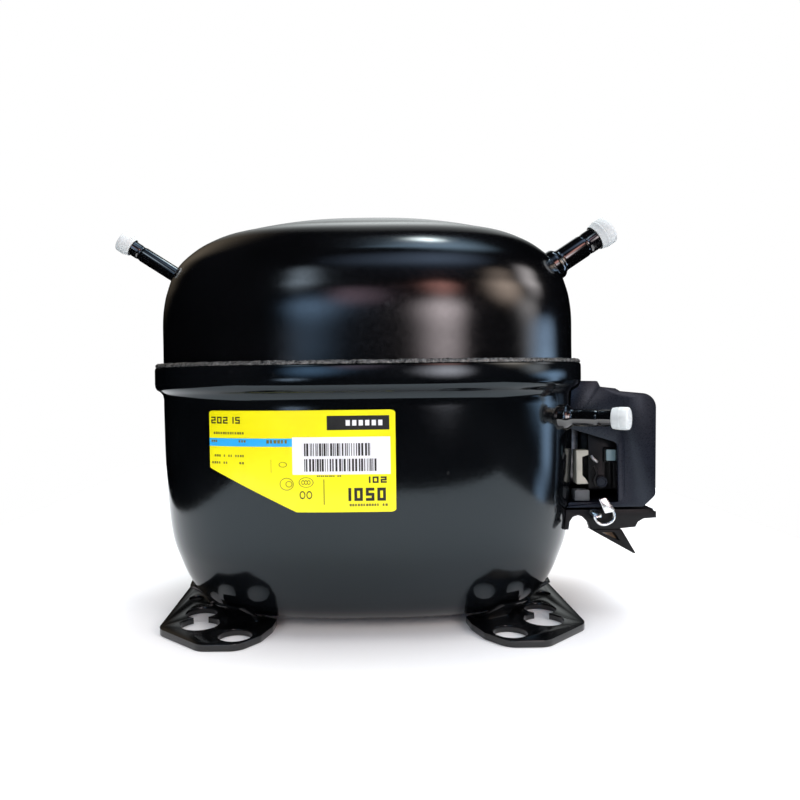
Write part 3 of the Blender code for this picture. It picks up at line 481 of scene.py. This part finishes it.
def lower_skin(materials):
    outer = smooth_line(LOWER_PROFILE, 5)
    rings = [shell_ring(45.0, 2.8, s) for s in (0.05, 0.5)]
    rings += [shell_ring(i, z) for i, z in outer]
    fillet = [(-0.0, 110.0), (-0.35, 112.2), (-1.6, 113.9), (-3.2, 114.9), (-3.95, 116.2), (-4.2, 118.0),
              (-4.2, RIM_TOP - 1.4), (-3.9, RIM_TOP - 0.4), (-3.2, RIM_TOP)]
    rings += [shell_ring(i, z) for i, z in fillet]
    rings.append(shell_ring(-0.3, RIM_TOP))
    rings.append(shell_ring(-0.3, RIM_LOW + 0.5))
    rings.append(shell_ring(WALL, RIM_LOW + 0.5))
    rings += [shell_ring(i + WALL, z + (WALL if i > 20.0 else 1.5 if i > 5.0 else 0.0))
              for i, z in LOWER_PROFILE[::-1]]
    hole = turned([(16.3, 0.0), (16.3, 22.0)], 64, (90.0, 0.0, 84.0), (1.0, 0.0, 0.0))
    return piece("lower_shell_skin", loft(rings), materials["lower_paint"], "casing", ["lower_shell"],
                 cuts=[hole], crease=35.0)


def upper_skin(materials):
    outer = smooth_line([(0.0, RIM_LOW + 1.0), (0.0, 135.0)] + UPPER_PROFILE, 6)
    last_inset, last_z = UPPER_PROFILE[-1]
    inside = [(i + WALL * 0.9, z - (WALL if i > 12.0 else 0.8 if i > 2.0 else 0.0)) for i, z in UPPER_PROFILE]
    rings = crown_rings(inside[-1][0], inside[-1][1], CROWN_TOP - WALL, 6)[::-1]
    rings += [shell_ring(i, z) for i, z in inside[::-1]]
    rings.append(shell_ring(WALL, RIM_LOW + 1.0))
    rings += [shell_ring(i, z) for i, z in outer]
    rings += crown_rings(last_inset, last_z, CROWN_TOP, 24)
    return piece("upper_shell_skin", loft(rings), materials["black_paint"], "casing", ["upper_shell"],
                 crease=40.0)


def weld(materials):
    """Rough fillet of weld metal on the rim, with ripples, pits and small droplets."""
    sides = 1500
    levels = 11
    rings = [[] for _ in range(levels)]
    for k in range(sides):
        t = 2.0 * math.pi * k / sides
        c = math.cos(t)
        s = math.sin(t)
        x = math.copysign(abs(c) ** (2.0 / SQUARENESS), c)
        y = math.copysign(abs(s) ** (2.0 / SQUARENESS), s)
        for j in range(levels):
            turn = math.pi * (0.5 - 1.5 * j / (levels - 1))
            place = Vector((x * 110.0, y * 83.0, j * 0.9))
            rough = 0.6 * noise.noise(place * 0.55) + 0.5 * noise.noise(place * 1.6)
            out = 2.1 + 1.75 * math.cos(turn) * (1.0 + 0.22 * rough)
            up = RIM_TOP + 0.45 + 1.35 * math.sin(turn) + 0.55 * max(rough, -0.5) * (1.0 if j < 8 else 0.0)
            a = HALF_X - RIM_PROUD + min(out, 4.05)
            b = HALF_Y - RIM_PROUD + min(out, 4.05)
            rings[j].append((x * a, y * b, min(max(up, RIM_TOP + 0.02), RIM_TOP + 3.3)))
    return piece("weld_bead_rough", loft(rings, loop=True), materials["bead_paint"], "casing", ["weld_bead"],
                 crease=70.0)


# ---------------------------------------------------------------- feet


def foot_edge(a, b, degrees):
    t = math.radians(degrees)
    return (abs(math.cos(t)) ** (2.0 / SQUARENESS) * a,
            math.copysign(abs(math.sin(t)) ** (2.0 / SQUARENESS), math.sin(t)) * b)


def foot_lip(start, end, steps, side):
    """Upturned lip that follows the shell's lower curve."""
    section = [(z, near) for z, near, far in LIP_LEVELS] + [(z, far) for z, near, far in reversed(LIP_LEVELS)]
    rings = []
    for k in range(steps + 1):
        t = start + (end - start) * k / steps
        ring = []
        for z, inset in section:
            x, y = foot_edge(HALF_X - RIM_PROUD - inset, HALF_Y - RIM_PROUD - inset, t)
            ring.append((x * side, y, z))
        rings.append(ring)
    return loft(rings)


def peanut(x, y0, r0, x1, y1, r1):
    """Outline of two holes that run into each other."""
    gap = math.hypot(x1 - x, y1 - y0)
    along = math.atan2(y1 - y0, x1 - x)
    near = math.acos((gap * gap + r0 * r0 - r1 * r1) / (2.0 * gap * r0))
    far = math.acos((gap * gap + r1 * r1 - r0 * r0) / (2.0 * gap * r1))
    out = []
    for k in range(33):
        t = along + near + (2.0 * math.pi - 2.0 * near) * k / 32
        out.append((x + r0 * math.cos(t), y0 + r0 * math.sin(t)))
    for k in range(1, 32):
        t = along + math.pi + far + (2.0 * math.pi - 2.0 * far) * k / 32
        out.append((x1 + r1 * math.cos(t), y1 + r1 * math.sin(t)))
    return out


def foot(name, node, side, materials):
    """Pressed foot with its holes and the lips that hold the shell. side is -1 on the left, 1 on the right."""
    inner = [foot_edge(*FOOT_INNER, 57.0 - 3.0 * k) for k in range(39)]
    front = [(x, -y) for x, y in FOOT_CORNERS[::-1]]
    outline = rounded(front + FOOT_CORNERS, FOOT_RADII[::-1] + FOOT_RADII) + inner
    holes = [circle(*hole) for hole in FOOT_HOLES]
    for s in (-1.0, 1.0):
        x0, y0, r0 = GROMMET_HOLE
        x1, y1, r1 = SLOT_HOLE
        holes.append(peanut(x0, s * y0, r0, x1, s * y1, r1))
    flat = plate([(x * side, y) for x, y in outline], 0.0, FOOT_THICK,
                 [[(x * side, y) for x, y in h] for h in holes])
    lips = [foot_lip(*span, side) for span in LIP_SPANS]
    return piece(name, flat, materials["foot_paint"], "casing", [node], joins=lips, bevel=0.45)


# ---------------------------------------------------------------- connectors


def connector(name, node, spec, materials, neck):
    """Painted tube with its brazed collar at the shell and a slightly necked end."""
    base, way, outer, length = spec
    profile = [(0.05, -9.0), (outer + 2.1, -9.0), (outer + 2.1, 2.0), (outer + 1.95, 3.2), (outer + 1.3, 4.2),
               (outer + 0.5, 5.0), (outer + 0.12, 5.8), (outer, 7.0)]
    groove = length - neck
    profile += [(outer, groove - 1.0), (outer - 0.25, groove), (outer - 0.4, groove + 0.6),
                (outer - 0.25, groove + 1.4), (outer - 0.1, groove + 2.2), (outer - 0.1, length),
                (outer - 0.9, length), (0.05, length)]

    def ripple(t, height):
        wave = noise.noise(Vector((math.cos(t) * 2.0, math.sin(t) * 2.0, height * 0.5)))
        return 1.0 + (0.03 * wave if height < 5.0 else 0.0)

    return piece(name, turned(profile, 64, base, way, ripple), materials["tube_paint"], "casing", [node],
                 crease=28.0)


def cap(name, node, spec, skirt, length, body, materials, flats=0):
    """Moulded plug with a skirt, a stepped head, a parting ring and a gate dimple."""
    base, way, outer, reach = spec
    start = Vector(base) + Vector(way) * (reach - length + CAP_END)
    profile = [(0.05, length - 2.2), (outer + 0.3, length - 2.2), (outer + 0.3, 0.2), (outer + 0.4, 0.0),
               (outer + 0.65, 0.0), (outer + 0.8, 0.2), (outer + 0.85, 0.9), (outer + 1.05, 1.4),
               (skirt + 0.05, 2.7), (skirt + 0.28, 3.1), (skirt + 0.3, 3.6),
               (skirt + 0.22, 3.8), (skirt + 0.3, 4.0), (skirt + 0.25, length - 1.2),
               (skirt, length - 0.45), (skirt - 0.6, length - 0.05), (skirt * 0.5, length),
               (skirt * 0.3, length - 0.15), (skirt * 0.22, length - 0.7), (0.05, length - 0.8)]

    def ripple(t, height):
        facet = math.cos(flats * t) * 0.022 if flats and height > 2.9 else 0.0
        return min(1.0 + facet, 1.0)

    return piece(name, turned(profile, 72, start, way, ripple), materials["white_plastic"], body, [node],
                 crease=32.0)


# ---------------------------------------------------------------- electrical box


def shell_block(clear, sides=96):
    """The shell's outside as one solid, swollen by clear."""
    rings = [shell_ring(i - clear, z, 1.0, sides) for i, z in LOWER_PROFILE]
    rim = [(-0.35, 112.2), (-3.2, 114.9 - clear), (-4.2, 117.0), (-4.2, RIM_TOP), (0.0, RIM_TOP + clear),
           (0.0, 150.0)]
    rings += [shell_ring(i - clear, z, 1.0, sides) for i, z in rim]
    return loft(rings)


def terminal_cover(materials):
    """Push-on cover with a stepped top, open towards the shell, with a cut-out in its front wall."""
    side = [(95.0, 55.0), (134.0, 55.0), (140.0, 60.5), (141.0, 110.0), (123.3, 111.8), (121.0, 113.2),
            (113.6, 114.1), (112.2, 116.9), (95.0, 116.9)]
    outer = rounded(side, [0.0, 2.5, 3.5, 7.0, 0.8, 0.8, 0.6, 0.8, 0.0], 8)
    bore = [(80.0, 57.0), (133.3, 57.0), (138.0, 61.3), (139.0, 108.0), (122.0, 109.8), (110.0, 111.7),
            (80.0, 111.7)]
    window = rounded([(80.0, 54.0), (121.8, 57.5), (121.6, 86.5), (99.5, 93.5), (80.0, 93.5)],
                     [0.0, 0.0, 3.0, 0.0, 0.0], 6)
    body = plate(outer, COVER_FRONT, COVER_BACK, axes="xzy")
    cavity = plate(rounded(bore, [0.0, 2.0, 3.0, 5.4, 0.0, 0.0, 0.0]), COVER_FRONT + COVER_WALL,
                   COVER_BACK - COVER_WALL, axes="xzy")
    opening = plate(window, COVER_FRONT - 3.0, COVER_FRONT + 2.6, axes="xzy")
    rib_line = plate(box_outline(124.6, 60.0, 125.0, 108.0), COVER_FRONT - 0.6, COVER_FRONT + 0.25,
                     axes="xzy")
    return piece("terminal_cover_shell", body, materials["box_plastic"], "cover", ["terminal_cover"],
                 cuts=[cavity, opening, shell_block(0.5), rib_line], bevel=0.9, crease=40.0)


def relay_details(materials):
    """What shows in the cover's cut-out besides the CAD blocks: spade, screw ring, lead and clamp pad."""
    spade = plate(box_outline(117.8, 77.2, 122.4, 82.7, 0.5), RELAY_FRONT - 1.0, RELAY_FRONT, axes="xzy")
    piece("spade_terminal", spade, materials["blue_grey"], "casing", bevel=0.15)
    ring = turned([(1.7, 0.0), (2.8, 0.0), (2.8, 0.7), (2.5, 1.0), (2.0, 1.0), (1.7, 0.7)], 40,
                  (115.5, RELAY_FRONT + 0.1, 66.6), (0.0, -1.0, 0.0))
    piece("relay_screw_ring", ring, materials["box_plastic"], "casing")
    wire = smooth_line([(112.2, -40.4, 64.6), (110.9, -40.9, 68.0), (112.2, -40.9, 71.5),
                        (111.0, -40.4, 74.6)], 6)
    piece("relay_lead", pipe(wire, 0.8, 14), materials["black_plastic"], "casing")
    stub = smooth_line([(109.9, -40.3, 79.8), (110.6, -40.9, 78.6), (112.0, -40.9, 77.4),
                        (112.8, -40.3, 76.8)], 5)
    piece("relay_lead_end", pipe(stub, 0.75, 14), materials["plain_steel"], "casing")
    pad = plate([(113.6, 42.6), (119.8, 42.9), (123.0, 38.0)], -38.2, -37.2, axes="xzy")
    piece("cord_clamp_pad", pad, materials["clamp_pad"], "clamp")


def clip(materials):
    """Wide tab, round hook and disc pad, pressed from bright strip."""
    tab = plate(rounded([(110.7, 59.6), (114.1, 60.4), (118.4, 54.6), (117.6, 53.4), (113.6, 52.7)],
                        [0.5, 0.6, 0.5, 0.4, 0.5], 5), -48.4, -46.9, axes="xzy")
    piece("cover_clip_tab", tab, materials["bright_steel"], "clip", ["cover_clip"], bevel=0.3)
    bend = [(117.4, 54.6), (118.6, 52.0), (118.2, 49.4), (116.0, 47.6), (113.2, 47.0), (110.6, 48.0),
            (109.2, 50.0)]
    hook = [(x, CLIP_MIDDLE, z) for x, z in bend] + [(109.0, CLIP_MIDDLE - 0.2, 52.4)]
    piece("cover_clip_hook", pipe(smooth_line(hook, 6), 0.72, 18), materials["bright_steel"], "clip")
    edge = [(0.05, -0.7), (2.2, -0.7), (2.9, -0.35), (3.1, 0.0), (2.9, 0.35), (2.2, 0.7), (0.05, 0.7)]
    pad = turned(edge, 40, (109.4, -47.5, 52.7), (0.15, -0.5, 0.85))
    piece("cover_clip_pad", pad, materials["bright_steel"], "clip")


# ---------------------------------------------------------------- label

LABEL_LEFT = -73.4
LABEL_WIDE = 84.3
LABEL_TOP = 105.9
LABEL_TALL = 45.3


def on_shell(x, z, out):
    """Point over the front of the lower shell, out millimetres proud."""
    for (i0, z0), (i1, z1) in zip(LOWER_PROFILE, LOWER_PROFILE[1:]):
        if z0 <= z <= z1:
            inset = i0 + (i1 - i0) * (z - z0) / (z1 - z0)
    a = HALF_X - RIM_PROUD - inset + out
    b = HALF_Y - RIM_PROUD - inset + out
    return (x, -b * (1.0 - abs(x / a) ** SQUARENESS) ** (1.0 / SQUARENESS), z)


def label_place(u, v, out):
    """u runs 0 to 1 from the label's left, v 0 to 1 from its top down."""
    return on_shell(LABEL_LEFT + u * LABEL_WIDE, LABEL_TOP - v * LABEL_TALL, out)


def label_patch(u0, v0, u1, v1, low, high):
    """Rectangle on the label, cut into columns and rows so that it follows the shell."""
    columns = max(1, int((u1 - u0) * 60))
    rows = max(1, int((v1 - v0) * 16))
    points = []
    faces = []
    for out in (low, high):
        for i in range(columns + 1):
            for j in range(rows + 1):
                points.append(label_place(u0 + (u1 - u0) * i / columns, v0 + (v1 - v0) * j / rows, out))
    layer = (columns + 1) * (rows + 1)

    def at(i, j, top):
        return top * layer + i * (rows + 1) + j

    for i in range(columns):
        for j in range(rows):
            for top in (0, 1):
                face = (at(i, j, top), at(i + 1, j, top), at(i + 1, j + 1, top), at(i, j + 1, top))
                faces.append(face if top else face[::-1])
    rim = [(i, 0) for i in range(columns)] + [(columns, j) for j in range(rows)]
    rim += [(i, rows) for i in range(columns, 0, -1)] + [(0, j) for j in range(rows, 0, -1)]
    for k, (i, j) in enumerate(rim):
        m, n = rim[(k + 1) % len(rim)]
        faces.append((at(i, j, 0), at(m, n, 0), at(m, n, 1), at(i, j, 1)))
    return points, faces


def gather(surfaces):
    """Several closed surfaces as one list of points and faces."""
    points = []
    faces = []
    for more_points, more_faces in surfaces:
        first = len(points)
        points += more_points
        faces += [tuple(i + first for i in face) for face in more_faces]
    return points, faces


def label_sheet(materials):
    """The label itself: its outline in u and v, cut into strips and wrapped round the shell."""
    outline = rounded([(0.0, 0.575), (0.475, 1.0), (1.0, 1.0), (1.0, 0.0), (0.0, 0.0)],
                      [0.02, 0.02, 0.03, 0.03, 0.022], 5)
    flat = raw("label_flat", plate([(u / MM, v / MM) for u, v in outline], 0.0, 1.0))
    work = bmesh.new()
    work.from_mesh(flat.data)
    bmesh.ops.dissolve_limit(work, angle_limit=0.01, verts=work.verts, edges=work.edges)
    for parts, across in ((48, (1.0, 0.0, 0.0)), (12, (0.0, 1.0, 0.0))):
        for k in range(1, parts):
            bmesh.ops.bisect_plane(work, geom=work.verts[:] + work.edges[:] + work.faces[:],
                                   plane_co=Vector(across) * (k / parts), plane_no=across)
    for vert in work.verts:
        out = 0.22 if vert.co.z < 0.5 * MM else 0.42
        vert.co = Vector(label_place(min(max(vert.co.x, 0.0), 1.0), min(max(vert.co.y, 0.0), 1.0), out)) * MM
    bmesh.ops.recalc_face_normals(work, faces=work.faces)
    work.to_mesh(flat.data)
    work.free()
    flat.name = "rating_label_sheet"
    for face in flat.data.polygons:
        face.use_smooth = True
    flat.data.set_sharp_from_angle(angle=math.radians(40.0))
    flat.data.materials.append(materials["label_yellow"])
    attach(flat, "casing")
    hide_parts("rating_label")


def dashes(draw, u0, v0, u1, tall, count, low, high):
    """A line of small print: short marks of uneven width."""
    marks = []
    step = (u1 - u0) / count
    for k in range(count):
        if draw.random() < 0.12:
            continue
        wide = step * (0.5 + 0.3 * draw.random())
        marks.append(label_patch(u0 + k * step, v0, u0 + k * step + wide, v0 + tall, low, high))
    return marks


def digits(text, u0, v0, u1, v1, bold=0.2):
    """Seven-bar figures, as rectangles (u0, v0, u1, v1)."""
    bars = {"0": "abcdef", "1": "bc", "2": "abged", "3": "abgcd", "4": "fgbc", "5": "afgcd"}
    cell = (u1 - u0) / len(text)
    wide = cell * 0.74
    thick = cell * bold
    tall = v1 - v0
    deep = thick * LABEL_WIDE / LABEL_TALL
    out = []
    for n, sign in enumerate(text):
        x = u0 + n * cell
        spots = {"a": (x, v0, x + wide, v0 + deep),
                 "g": (x, v0 + tall / 2 - deep / 2, x + wide, v0 + tall / 2 + deep / 2),
                 "d": (x, v1 - deep, x + wide, v1), "f": (x, v0, x + thick, v0 + tall / 2),
                 "b": (x + wide - thick, v0, x + wide, v0 + tall / 2), "e": (x, v0 + tall / 2, x + thick, v1),
                 "c": (x + wide - thick, v0 + tall / 2, x + wide, v1)}
        out += [spots[b] for b in bars[sign]]
    return out


def ring_mark(u, v, ru, rv, thick, low, high):
    """Small oval outline, like an approval mark's border."""
    rings = []
    count = 28
    for k in range(count):
        t = 2.0 * math.pi * k / count
        c = math.cos(t)
        s = math.sin(t)
        inner = 1.0 - thick
        rings.append([label_place(u + ru * c, v + rv * s, low), label_place(u + ru * c, v + rv * s, high),
                      label_place(u + ru * c * inner, v + rv * s * inner, high),
                      label_place(u + ru * c * inner, v + rv * s * inner, low)])
    return loft(rings, loop=True)


def label_print(materials):
    """Printed areas as very thin patches. The marks are generic: bars, dashes, ovals and plain figures."""
    draw = random.Random(7)
    one = (0.42, 0.5)
    two = (0.5, 0.58)
    blue = [label_patch(0.0, 0.274, 0.457, 0.354, *one)]
    white = [label_patch(0.457, 0.262, 0.972, 0.628, *one)]
    dark = [label_patch(0.641, 0.055, 0.968, 0.194, *one)]
    pale = []
    for k in range(6):
        pale.append(label_patch(0.74 + 0.034 * k, 0.098, 0.762 + 0.034 * k, 0.152, *two))
    for v0, v1, end in ((0.323, 0.446, 0.868), (0.475, 0.597, 0.903)):
        u = 0.52
        while u < end:
            wide = draw.choice((0.0035, 0.005, 0.0075, 0.0105))
            dark.append(label_patch(u, v0, min(u + wide, end), v1, *two))
            u += wide + draw.choice((0.004, 0.006, 0.009))
    dark += [label_patch(*bar, *one) for bar in digits("1050", 0.72, 0.762, 0.962, 0.89, 0.25)]
    dark += [label_patch(*bar, *one) for bar in digits("102", 0.835, 0.652, 0.962, 0.715)]
    dark += [label_patch(*bar, *one) for bar in digits("20215", 0.012, 0.06, 0.185, 0.128)]
    dark.append(label_patch(0.62, 0.675, 0.6235, 0.925, *one))
    soft = dashes(draw, 0.012, 0.212, 0.2, 0.022, 14, *one)
    soft += dashes(draw, 0.016, 0.438, 0.2, 0.022, 14, *one)
    soft += dashes(draw, 0.014, 0.508, 0.12, 0.022, 8, *one)
    soft += dashes(draw, 0.17, 0.508, 0.215, 0.022, 3, *one)
    soft += dashes(draw, 0.755, 0.918, 0.958, 0.024, 14, *one)
    soft += dashes(draw, 0.012, 0.292, 0.05, 0.022, 3, *two)
    soft += dashes(draw, 0.168, 0.292, 0.21, 0.022, 3, *two)
    soft += dashes(draw, 0.32, 0.288, 0.437, 0.034, 6, *two)
    dark += dashes(draw, 0.585, 0.637, 0.715, 0.012, 12, *one)
    soft.append(label_patch(0.342, 0.48, 0.3435, 0.61, *one))
    soft.append(ring_mark(0.425, 0.722, 0.037, 0.062, 0.09, *one))
    soft.append(ring_mark(0.437, 0.722, 0.018, 0.031, 0.2, *one))
    soft.append(ring_mark(0.528, 0.705, 0.039, 0.05, 0.09, *one))
    soft.append(ring_mark(0.406, 0.53, 0.022, 0.026, 0.16, *one))
    for k in range(3):
        soft.append(ring_mark(0.512 + 0.015 * k, 0.705, 0.009, 0.022, 0.32, *one))
    for k in range(2):
        dark.append(ring_mark(0.508 + 0.036 * k, 0.829, 0.015, 0.04, 0.3, *one))
    layers = [("label_blue_band", blue, "print_blue"), ("label_white_panel", white, "print_white"),
              ("label_dark_print", dark, "print_black"), ("label_pale_marks", pale, "print_white"),
              ("label_small_print", soft, "print_soft")]
    for name, shapes, material in layers:
        piece(name, gather(shapes), materials[material], "casing")


# ---------------------------------------------------------------- scene


# Soft patches of light in the room that the gloss paint mirrors:
# azimuth from +X, elevation, half width, half height (degrees), colour
GLOWS = [
    (20.0, 77.0, 75.0, 22.0, (1.5, 2.2, 2.9)),
    (-62.0, 58.0, 48.0, 20.0, (0.8, 1.1, 1.6)),
    (60.0, 71.0, 16.0, 4.5, (16.0, 18.0, 18.0)),
    (86.0, 27.0, 26.0, 28.0, (0.9, 0.95, 0.95)),
    (125.0, 32.0, 30.0, 30.0, (0.28, 0.23, 0.17)),
    (-106.0, 37.0, 10.0, 16.0, (2.6, 3.2, 3.8)),
    (-101.0, 12.0, 13.0, 15.0, (1.3, 2.1, 3.2)),
    (-91.0, 21.0, 7.0, 12.0, (1.7, 1.2, 1.5)),
    (-71.0, 9.0, 13.0, 16.0, (8.2, 7.2, 7.4)),
    (-70.0, 28.0, 10.0, 13.0, (4.6, 2.2, 1.9)),
    (-36.0, 26.0, 20.0, 19.0, (5.0, 4.0, 3.3)),
    (-10.0, 29.0, 16.0, 17.0, (5.0, 4.7, 4.7)),
    (-22.0, 10.0, 17.0, 13.0, (2.6, 2.5, 2.5)),
    (-6.0, 0.0, 26.0, 8.0, (2.4, 3.5, 5.0)),
    (-3.0, -8.0, 12.0, 8.0, (2.0, 2.8, 3.9)),
    (-10.0, -15.0, 11.0, 5.0, (1.7, 2.4, 3.4)),
    (-107.0, -2.5, 8.0, 3.0, (4.0, 4.6, 5.6)),
]


def studio():
    """White sheet under soft light in a dark room, with tinted patches that the paint mirrors."""
    scene = bpy.context.scene
    world = bpy.data.worlds.new("studio")
    world.use_nodes = True
    tree = world.node_tree
    add = tree.nodes.new
    link = tree.links.new

    def maths(operation, first, second=None):
        node = add("ShaderNodeMath")
        node.operation = operation
        for socket, value in zip(node.inputs, (first, second)):
            if isinstance(value, float):
                socket.default_value = value
            elif value is not None:
                link(value, socket)
        return node.outputs["Value"]

    split = add("ShaderNodeSeparateXYZ")
    link(add("ShaderNodeTexCoord").outputs["Generated"], split.inputs["Vector"])
    azimuth = maths("DEGREES", maths("ARCTAN2", split.outputs["Y"], split.outputs["X"]))
    elevation = maths("DEGREES", maths("ARCSINE", split.outputs["Z"]))
    total = None
    for middle_az, middle_el, wide, tall, colour in GLOWS:
        across = maths("DIVIDE", maths("SUBTRACT", azimuth, middle_az), wide)
        up = maths("DIVIDE", maths("SUBTRACT", elevation, middle_el), tall)
        away = maths("SQRT", maths("ADD", maths("MULTIPLY", across, across), maths("MULTIPLY", up, up)))
        fade = add("ShaderNodeMapRange")
        fade.interpolation_type = "SMOOTHSTEP"
        link(away, fade.inputs["Value"])
        fade.inputs["From Min"].default_value = 1.0
        fade.inputs["From Max"].default_value = 0.0
        tint = add("ShaderNodeVectorMath")
        tint.operation = "SCALE"
        tint.inputs[0].default_value = colour
        link(fade.outputs["Result"], tint.inputs["Scale"])
        if total is None:
            total = tint.outputs["Vector"]
            continue
        both = add("ShaderNodeVectorMath")
        link(total, both.inputs[0])
        link(tint.outputs["Vector"], both.inputs[1])
        total = both.outputs["Vector"]
    mix = add("ShaderNodeMix")
    mix.data_type = "RGBA"
    link(add("ShaderNodeLightPath").outputs["Is Camera Ray"], mix.inputs["Factor"])
    link(total, mix.inputs["A"])
    mix.inputs["B"].default_value = (1.0, 1.0, 1.0, 1.0)
    link(mix.outputs["Result"], tree.nodes["Background"].inputs["Color"])
    scene.world = world
    scene.view_settings.view_transform = "Standard"

    sheet = bpy.data.meshes.new("sheet")
    left, right, near_y, far_y = -0.3, 0.31, -0.33, 0.6
    corners = [(left, near_y, 0.0), (right, near_y, 0.0), (right, far_y, 0.0), (left, far_y, 0.0)]
    sheet.from_pydata(corners, [], [(0, 1, 2, 3)])
    floor = bpy.data.objects.new("floor", sheet)
    floor.location.z = -0.0002
    scene.collection.objects.link(floor)
    floor.data.materials.append(finish("floor_paper", (0.93, 0.935, 0.94), (0.95, 0.953, 0.957), (0.8, 0.9),
                                       patch=3.0, grain=60.0, bump=0.02))

    def card(name, where, target, wide, tall, watts):
        data = bpy.data.lights.new(name, "AREA")
        data.shape = "RECTANGLE"
        data.size = wide
        data.size_y = tall
        data.energy = watts
        lamp = bpy.data.objects.new(name, data)
        lamp.location = where
        lamp.rotation_euler = (Vector(target) - Vector(where)).to_track_quat("-Z", "Y").to_euler()
        lamp.visible_glossy = False
        scene.collection.objects.link(lamp)

    middle = (0.0, 0.0, 0.1)
    card("front_left", (-1.3, -1.8, 1.0), middle, 0.9, 0.9, 16.0)
    card("front_right", (1.7, -1.5, 1.1), middle, 0.7, 1.0, 14.0)
    daylight = bpy.data.lights.new("daylight", "SUN")
    daylight.energy = 4.0
    daylight.angle = math.radians(75.0)
    over = bpy.data.objects.new("daylight", daylight)
    over.rotation_euler = (math.radians(-14.0), math.radians(8.0), 0.0)
    over.visible_glossy = False
    scene.collection.objects.link(over)


def camera():
    """Eye level with the upper shell, square to the label side."""
    data = bpy.data.cameras.new("camera")
    data.lens = LENS
    data.sensor_width = 36.0
    data.shift_x, data.shift_y = SHIFT
    data.dof.use_dof = False
    data.clip_start = 0.01
    made = bpy.data.objects.new("camera", data)
    turn = Matrix.Rotation(math.radians(90.0), 4, "X") @ Matrix.Rotation(math.radians(ROLL), 4, "Z")
    made.matrix_world = Matrix.Translation(Vector(EYE) * MM) @ turn
    bpy.context.scene.collection.objects.link(made)
    bpy.context.scene.camera = made


def main():
    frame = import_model()
    materials = make_materials()
    slots = {row["node"]: row["material_slot"] for row in frame["record"]["subparts"]}
    for node, obj in frame["nodes"].items():
        obj.data.materials.clear()
        obj.data.materials.append(materials[slots[node]])
    lower_skin(materials)
    upper_skin(materials)
    weld(materials)
    foot("left_foot_pressing", "left_base_bracket", -1.0, materials)
    foot("right_foot_pressing", "right_base_bracket", 1.0, materials)
    connector("suction_tube_painted", "suction_tube", SUCTION, materials, 13.0)
    connector("process_tube_painted", "process_tube", PROCESS, materials, 12.0)
    connector("discharge_tube_painted", "discharge_tube", DISCHARGE, materials, 12.0)
    cap("suction_cap_moulding", "suction_tube_cap", SUCTION, 7.2, 8.6, "suction_cap", materials)
    cap("process_cap_moulding", "process_tube_cap", PROCESS, 5.7, 8.0, "process_cap", materials)
    cap("discharge_cap_moulding", "discharge_tube_cap", DISCHARGE, 5.1, 7.6, "discharge_cap", materials, 6)
    terminal_cover(materials)
    relay_details(materials)
    clip(materials)
    for node, width in (("starting_relay", 0.4), ("overload_protector", 0.35), ("cord_terminal_block", 0.35),
                        ("terminal_fence", 0.3), ("clamp_screw", 0.2)):
        refine(frame, node, materials[slots[node]], width, "casing")
    refine(frame, "cord_relief_body", materials["black_plastic"], 0.35, "casing")
    refine(frame, "cord_clamp_flap", materials["black_plastic"], 0.2, "clamp")
    label_sheet(materials)
    label_print(materials)
    studio()
    camera()


main()
